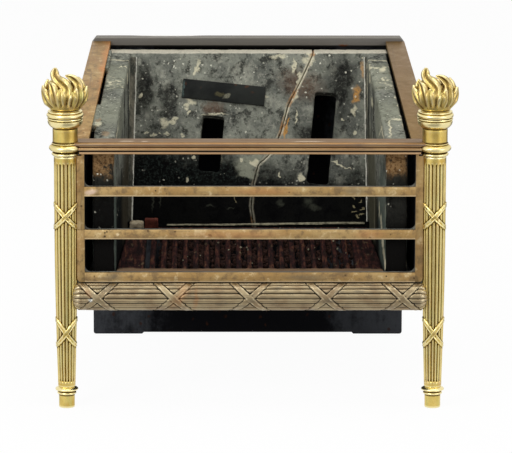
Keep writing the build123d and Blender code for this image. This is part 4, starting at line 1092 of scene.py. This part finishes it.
side_late = [
    ((74, 69, 56), 0.75, [upright(225, 190, 80, 62, side=-1)]),
    ((84, 82, 66), 0.8, [right(225, 195, 86, 62)]),
    ((98, 108, 100), 0.75, [right(50, 195, 60, 62), upright(24, 190, 20, 62, side=-1)]),
    ((118, 114, 96), 0.8, [right(300, 190, 8, 60), right(170, 176, 5, 30)]),
    (PALE, 0.95, [
        right(72, 190, 13, 6), right(62, 181, 14, 6), right(48, 171, 15, 6),
        right(30, 162, 15, 6), right(14, 154, 12, 6), right(100, 196, 8, 9),
        on_top(135.5, 262, 3.8, 12), on_top(142, 258, 5, 4), on_top(150.5, 252, 4.2, 13),
        on_top(149.5, 219, 1.8, 7), on_top(160, 82, 6.5, 3), on_top(150.8, 46, 1.1, 34),
        on_top(-143, 262, 1.3, 4), on_top(-138.5, 262, 1.3, 4), on_top(-164, 64, 3.4, 9),
        *(on_top(half_gap(depth, FLECK_LINE), depth, 1.1, 3.6)
          for depth in (64, 92, 128, 156, 190, 212, 238, 264))]),
    ((160, 136, 106), 0.6, [on_top(-155, 32, 3.6, 8), on_top(-163, 78, 2.4, 6)]),
]
back_fireclay = fireclay("sooty_back_slab", back_marks, back_late, (1, 1, 1.6), 0.012)
side_fireclay = fireclay("sooty_side_slabs", side_marks, side_late, (1, 1, 9), 0.007, ends=True)
CRACK = [(73.4, 345), (73.4, 333.6), (58.6, 303), (45, 278), (37, 249.3), (26.9, 227.7),
         (11, 213.6), (5.4, 192.8), (3, 168.4), (8, 134.5)]


def mark_rift(mesh, points):
    """Store on each point of the back slab its distance from the crack, as rift."""
    here = points[:, [0, 2]]
    nearest = np.full(len(here), 1.0)
    for start, end in zip(CRACK[:-1], CRACK[1:]):
        a, run = np.array(start) * MM, (np.array(end) - np.array(start)) * MM
        share = np.clip(((here - a) @ run) / (run @ run), 0, 1)
        gap = np.linalg.norm(here - a - share[:, None] * run, axis=1)
        nearest = np.minimum(nearest, gap)
    keep(mesh, "rift", nearest)
    return nearest


def rough_slab(node, voxel, wave, finish, body="frame", slot="fireclay", rounds=2):
    """A slab with worn, chipped edges and an uneven face, in the node's place."""
    piece = remeshed(node + "_worn", plain_copy(node, node + "_form"), voxel * MM, rounds)
    mesh = piece.data
    points = points_of(mesh)
    held = np.ones(len(points))
    if node.startswith("liner_back"):
        held = np.clip(mark_rift(mesh, points) / (4 * MM), 0, 1)
    held = held[:, None]
    push = (lumps(points, (90, 0.6), (260, 0.4)) - 0.35 * held) * wave * MM * (0.3 + 0.7 * held)
    low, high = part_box(node)
    moved = points + read(mesh.vertex_normals, "vector", 3) * push
    set_points(mesh, np.clip(moved, np.array(low), np.array(high)))
    fit(piece, body, slot, finish, node)


for name in ("liner_back_left", "liner_back_right"):
    rough_slab(name, 1.6, 0.7, back_fireclay)
for name in ("liner_left", "liner_right"):
    rough_slab(name, 1.9, 0.7, side_fireclay, rounds=7)


def bead(name, sections, finish, slot, voxel, push, layers, rounds=2):
    """A rough bead of cement through a row of four-cornered sections, in metres."""
    points = [point for section in sections for point in section]
    form = mesh_from(name + "_form", points, ring_faces(len(sections), 4))
    piece = remeshed(name, form, voxel * MM, rounds)
    moved = points_of(piece.data)
    set_points(piece.data, moved + np.array(push) * MM * lumps(moved, *layers))
    fit(piece, "frame", slot, finish)


CRUMBLY = ((150, 0.6), (430, 0.4))


def cement_fillet(name, near, far):
    """Fire cement pressed into the slit between the left slab and its side rail."""
    sections = []
    for depth in np.linspace(near, far, 24):
        share = (depth - SLAB_FRONT) / SLAB_RUN
        inner = 2.0 - half_gap(depth, SLAB_THICK)
        outer = -(172.6 - 16.1 * share) - 0.4
        top = SLAB_TOP + SLAB_RISE * share - 1.4
        foot = top - (4.5 if depth in (near, far) else 9.0)
        sections.append([(x * MM, AXIS_Y + depth * MM, z * MM) for x, z in (
            (outer, top), (inner, top - 0.6), (inner, foot), (outer, foot))])
    bead(name, sections, side_fireclay, "fire_cement", 0.8, (0.24, 0, 0.8),
         ((140, 0.7), (420, 0.3)), rounds=3)


cement_fillet("cement_fillet_rear", 250, 311)
cement_fillet("cement_fillet_front", 62, 128)


def back_slab_front():
    """The back slab's leaning front face, as its depth at any height above the floor."""
    points = points_of(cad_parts["liner_back_left"].data)
    foot = points[points[:, 1].argmin()]
    upper = points[points[:, 2] > points[:, 2].max() - 12 * MM]
    top = upper[upper[:, 1].argmin()]
    return lambda level: foot[1] + (level - foot[2]) * (top[1] - foot[1]) / (top[2] - foot[2])


back_face = back_slab_front()
CORNER_FOOT, CORNER_HEAD = 152.5, 330.0
CORNER_RISE = CORNER_HEAD - CORNER_FOOT


def pointing(name, low_edge, high_edge):
    """Sooty corner cement: grey with a white rubbed arris towards the middle."""
    finish = Finish(name, (112, 108, 94), roughness=0.93, gloss=0.07)
    x, _, z = finish.place.parts()
    mid = finish.noise(0.012, 6.0, 0.7, (1, 1, 3))
    fine = finish.noise(0.002, 5.0, 0.72)
    finish.coats((mid, 0.4, 0.62, 1.0, (60, 62, 56)),
                 (fine, 0.54, 0.7, 0.6, (150, 144, 128)),
                 # Darker towards the bottom: soot and painted shade, as on the slabs.
                 (z, 0.24, 0.16, 0.6, (34, 32, 28)))
    lean = (high_edge - low_edge) / CORNER_RISE
    edge = (z - CORNER_FOOT * MM) * lean + low_edge * MM
    arris = (abs(x) - edge + (mid - 0.5) * 0.004).ease(0.0015, 0.0007)
    finish.lay(arris * fine.ease(0.34, 0.5, 0.25, 1.0) * 0.95, (224, 222, 208))
    return finish.done(fine + mid * 2.0, 0.0008, 0.8)


def corner_pointing(name, side, low_edge, high_edge):
    """Fire cement pointed into the leaning corner between a side slab and the back slab."""
    sections = []
    for level in np.linspace(CORNER_FOOT, CORNER_HEAD, 40):
        wall = back_face(level * MM)
        corner = half_gap((wall - AXIS_Y) / MM) * MM
        above = level - CORNER_FOOT
        edge = (low_edge + (high_edge - low_edge) * above / CORNER_RISE) * MM
        leg = min(2.4 + above * 0.12, 7.0) * MM
        sections.append([(side * x, y, level * MM) for x, y in (
            (corner + 2 * MM, wall + 2 * MM), (edge, wall + 2 * MM), (edge, wall - 1.4 * MM),
            (corner + 1.5 * MM, wall - leg))])
    bead(name, sections, pointing(name + "_finish", low_edge, high_edge), "fire_cement", 0.8,
         (0.36, -0.6, 0.3), CRUMBLY)


corner_pointing("corner_cement_left", -1, 130.6, 126.2)
corner_pointing("corner_cement_right", 1, 133.0, 130.6)


def ear_shim(tag, side):
    """The curved iron shim that closes the gap between a capital's beads and its rail end."""
    low, high = 276.2 * MM, 281.3 * MM
    sections = []
    for bearing in np.radians(np.linspace(8, 86, 14)):
        turn = np.array([side * math.cos(bearing), math.sin(bearing)])
        inner, outer = (np.array([COLUMNS[tag], AXIS_Y]) + turn * r * MM for r in (14.2, 17.4))
        sections.append([(*inner, low), (*outer, low), (*outer, high), (*inner, high)])
    bead("ear_shim_" + tag, sections, grid_iron, "black_iron", 0.5, (0.12, -0.2, 0.1), CRUMBLY)


ear_shim("left", 1)
ear_shim("right", -1)


# ---------- Bottom grate and what lies on it ----------
rough_slab("bottom_grate", 1.75, 0.45, grate_rust, "grate", "grate_iron")


def lump_finish(name, body, shade, dust):
    finish = Finish(name, body, roughness=0.95, gloss=0.1)
    cloud = finish.noise(0.006, 4.0, 0.6)
    fine = finish.noise(0.0011, 4.0, 0.7)
    finish.coats((cloud, 0.35, 0.7, 1.0, shade), (fine, 0.5, 0.75, 0.6, dust))
    return finish.done(fine + cloud, 0.0006, 0.8)


brick_clay = lump_finish("broken_brick", (104, 54, 42), (70, 36, 30), (50, 30, 28))
cement_grey = lump_finish("fire_cement", (186, 172, 144), (140, 124, 100), (214, 206, 184))
pale_ash = lump_finish("pale_ash", (150, 144, 120), (86, 82, 70), (196, 190, 168))
clinker = lump_finish("red_clinker", (50, 31, 26), (20, 13, 13), (92, 70, 50))
rough_slab("packing_brick", 0.8, 0.9, brick_clay, "grate", "brick")
rough_slab("packing_lump", 0.8, 1.4, cement_grey, "grate", "fire_cement")
GRATE_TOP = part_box("bottom_grate")[1].z


def foot_bead():
    """A thin bead of pale cement along the foot of the back slab, rising to the right."""
    wall = back_face(GRATE_TOP)
    sections = []
    for x in np.linspace(-92, 131, 60) * MM:
        rise = min(max((x + 0.04) / 0.14, 0.0), 1.0)
        low, high = GRATE_TOP + (0.2 + 1.7 * rise) * MM, GRATE_TOP + (1.9 + 2.4 * rise) * MM
        sections.append([(x, wall - 2.6 * MM, low), (x, wall + 1 * MM, low),
                         (x, wall + 1 * MM, high), (x, wall - 1.2 * MM, high)])
    bead("foot_cement", sections, pale_ash, "fire_cement", 0.6, (0.6, -1.0, 0.5), CRUMBLY)


foot_bead()


def scatter_tree(tree, given):
    """Rough lumps strewn over a flat patch, each turned and sized at random."""
    patch = step(tree, "GeometryNodeMeshGrid",
                 {"Size X": given["Width"], "Size Y": given["Depth"], "Vertices X": 12,
                  "Vertices Y": 12})
    places = step(tree, "GeometryNodeDistributePointsOnFaces",
                  {"Mesh": patch, "Density": given["Density"], "Seed": given["Seed"]})
    lump = step(tree, "GeometryNodeMeshIcoSphere", {"Radius": 1.0, "Subdivisions": 2})
    size = step(tree, "FunctionNodeRandomValue",
                {2: given["Least"], 3: given["Most"], "Seed": given["Seed"]},
                output=1, data_type="FLOAT")
    spin = step(tree, "FunctionNodeRandomValue",
                {0: (0.0, 0.0, 0.0), 1: (6.3, 6.3, 6.3), "Seed": given["Seed"]},
                data_type="FLOAT_VECTOR")
    strewn = step(tree, "GeometryNodeInstanceOnPoints",
                  {"Points": places, "Instance": lump, "Rotation": spin,
                   "Scale": vector(tree, size, size * 0.8, size * given["Flatness"])})
    strewn = step(tree, "GeometryNodeRealizeInstances", {0: strewn})
    cloud = step(tree, "ShaderNodeTexNoise", {"Scale": 420.0, "Detail": 2.0}, output=1)
    return shaped(tree, strewn, {"Offset": shifted(tree, cloud, given["Least"] * 1.6)},
                  given["Axis X"], given["Axis Y"], given["Level"])


# Crumbs and clinker on the bottom grate; x, level, width, depth and sizes in millimetres.
for name, slot, finish, x, level, width, depth, per_square_metre, least, most, flatness, seed in (
        ("slot_clinker", "grate_iron", clinker, 10, -5.0, 216, 210, 24000.0, 1.6, 3.4, 0.8, 7),
        ("ash_crumbs", "fire_cement", pale_ash, 20, 0.4, 200, 230, 520.0, 0.6, 1.5, 0.7, 3)):
    scattered = grown(name, {
        "Axis X": x * MM, "Axis Y": AXIS_Y + 150 * MM, "Level": GRATE_TOP + level * MM,
        "Width": width * MM, "Depth": depth * MM, "Density": per_square_metre,
        "Least": least * MM, "Most": most * MM, "Flatness": flatness, "Seed": seed,
        "Finish": finish}, scatter_tree)
    fit(scattered, "grate", slot, finish)


# ---------- Fasteners ----------
def old_steel():
    finish = Finish("old_steel", (120, 116, 110), metallic=0.9)
    cloud = finish.noise(0.004, 4.0)
    finish.coats((cloud, 0.35, 0.7, 1.0, (84, 70, 60)))
    return finish.done(cloud, 0.0002, 0.5, cloud * 0.3 + 0.3)


steel = old_steel()
for name in ("facing_screws", "reed_rail_screws", "cheek_studs", "column_screws", "rail_screws",
             "back_bolts", "back_nuts", "rod_nuts", "rod_left", "rod_right"):
    softened(name, 0.3, "steel", steel)


# ---------- Studio ----------
def seen_directly(tree):
    """1 for rays that the camera, a reflection or a clear surface sends out."""
    rays = tree.nodes.new("ShaderNodeLightPath").outputs
    camera_ray, glossy, through_clear = (
        Field(tree, rays[ray + " Ray"]) for ray in ("Is Camera", "Is Glossy", "Is Transmission"))
    return camera_ray.most(glossy).most(through_clear)


def cover_with(finish, factor, under, over):
    """Blend two shaders into a finish's surface."""
    blend = step(finish.tree, "ShaderNodeMixShader", {0: factor, 1: under, 2: over})
    feed(finish.tree, finish.tree.nodes["Material Output"].inputs["Surface"], blend)


def square(name, half, level, finish):
    """A level square under the object, for the studio only."""
    corners = [(-half, -half, level), (half, -half, level), (half, half, level),
               (-half, half, level)]
    sheet = new_object(name, mesh_from(name, corners, [(0, 1, 2, 3)]))
    sheet.data.materials.append(finish.material)
    return sheet


def studio_floor():
    """Pale studio floor: white to the camera, and still taking a soft shadow."""
    finish = Finish("studio_floor", roughness=0.9, gloss=0.0)
    tree = finish.tree
    feed(tree, finish.shader.inputs["Base Color"], (0.86, 0.86, 0.86))
    glow = step(tree, "ShaderNodeEmission", {"Color": (1.0, 1.0, 1.0), "Strength": 1.0})
    cover_with(finish, seen_directly(tree) * 0.96, Field(tree, finish.shader.outputs[0]), glow)
    square("floor", 20, 0, finish)


def studio_world(level):
    """Even soft light, with a white backdrop wherever it is seen or reflected."""
    world = bpy.data.worlds.new("studio")
    bpy.context.scene.world = world
    world.use_nodes = True
    tree = world.node_tree
    back = tree.nodes["Background"]
    feed(tree, back.inputs["Color"], (1.0, 1.0, 1.0))
    feed(tree, back.inputs["Strength"], seen_directly(tree).ease(0.0, 1.0, level, 1.0))


def aimed(name, data, place, ahead):
    """A lamp or camera at a place, looking ahead."""
    holder = new_object(name, data)
    holder.location = place
    holder.rotation_mode = "QUATERNION"
    holder.rotation_quaternion = ahead.to_track_quat("-Z", "Y")
    return holder


def softbox(name, place, width, height, power):
    lamp = bpy.data.lights.new(name, "AREA")
    lamp.shape = "RECTANGLE"
    lamp.size, lamp.size_y = width, height
    lamp.energy = power
    aimed(name, lamp, place, Vector((0, 0, 0.15)) - Vector(place))


def dark_flag(front, behind):
    """Dark cloths laid on the floor round the object, seen only in its reflections."""
    finish = Finish("flag_cloth")
    tree = finish.tree
    x, y, _ = finish.place.parts()
    ahead = cad_box[0][1] - y
    left = (x + 0.3 + ahead * 0.12).ease(-0.06, 0.1)
    right_hand = (0.26 + ahead * 0.55 - x).ease(-0.06, 0.1)
    before = left * right_hand * ahead.ease(0.03, 0.2) * ahead.ease(2.6, 2.2) * front
    bearing = abs(x.calc("ARCTAN2", y))
    beyond = abs(x).most(abs(y)).ease(0.24, 0.4)
    after = bearing.ease(math.radians(78), math.radians(56)) * beyond * behind
    clear = step(tree, "ShaderNodeBsdfTransparent", {})
    cloth = step(tree, "ShaderNodeEmission", {"Color": (0.02, 0.016, 0.012), "Strength": 1.0})
    cover_with(finish, before.most(after), clear, cloth)
    flag = square("dark_flag", 2.8, 0.0015, finish)
    for ray in ("camera", "diffuse", "shadow", "transmission", "volume_scatter"):
        setattr(flag, "visible_" + ray, False)


def camera():
    """The photograph's viewpoint: far back, a little above, a hair to the left."""
    azimuth, elevation, roll = np.radians((0.4786, 11.677, 0.118)).tolist()
    distance, focal_length = 4.9939, 316.35
    aim = Vector((0.00783, 0.00385, 0.16326))
    ahead = Vector((math.sin(azimuth) * math.cos(elevation),
                    math.cos(azimuth) * math.cos(elevation), -math.sin(elevation)))
    lens = bpy.data.cameras.new("camera")
    lens.lens = focal_length
    lens.sensor_width = 36.0
    lens.clip_start, lens.clip_end = 0.1, 100.0
    holder = aimed("camera", lens, aim - ahead * distance, ahead)
    holder.rotation_quaternion = holder.rotation_quaternion @ Quaternion((0, 0, 1), roll)
    bpy.context.scene.camera = holder


studio_floor()
studio_world(0.42)
softbox("key_light", (-1.5, -2.0, 1.7), 1.1, 1.1, 34)
softbox("top_light", (0.2, -0.1, 2.3), 1.4, 1.4, 22)
softbox("fill_light", (1.9, -1.6, 0.9), 0.9, 1.2, 12)
dark_flag(0.62, 0.75)
camera()
bpy.context.scene.view_settings.view_transform = "Standard"
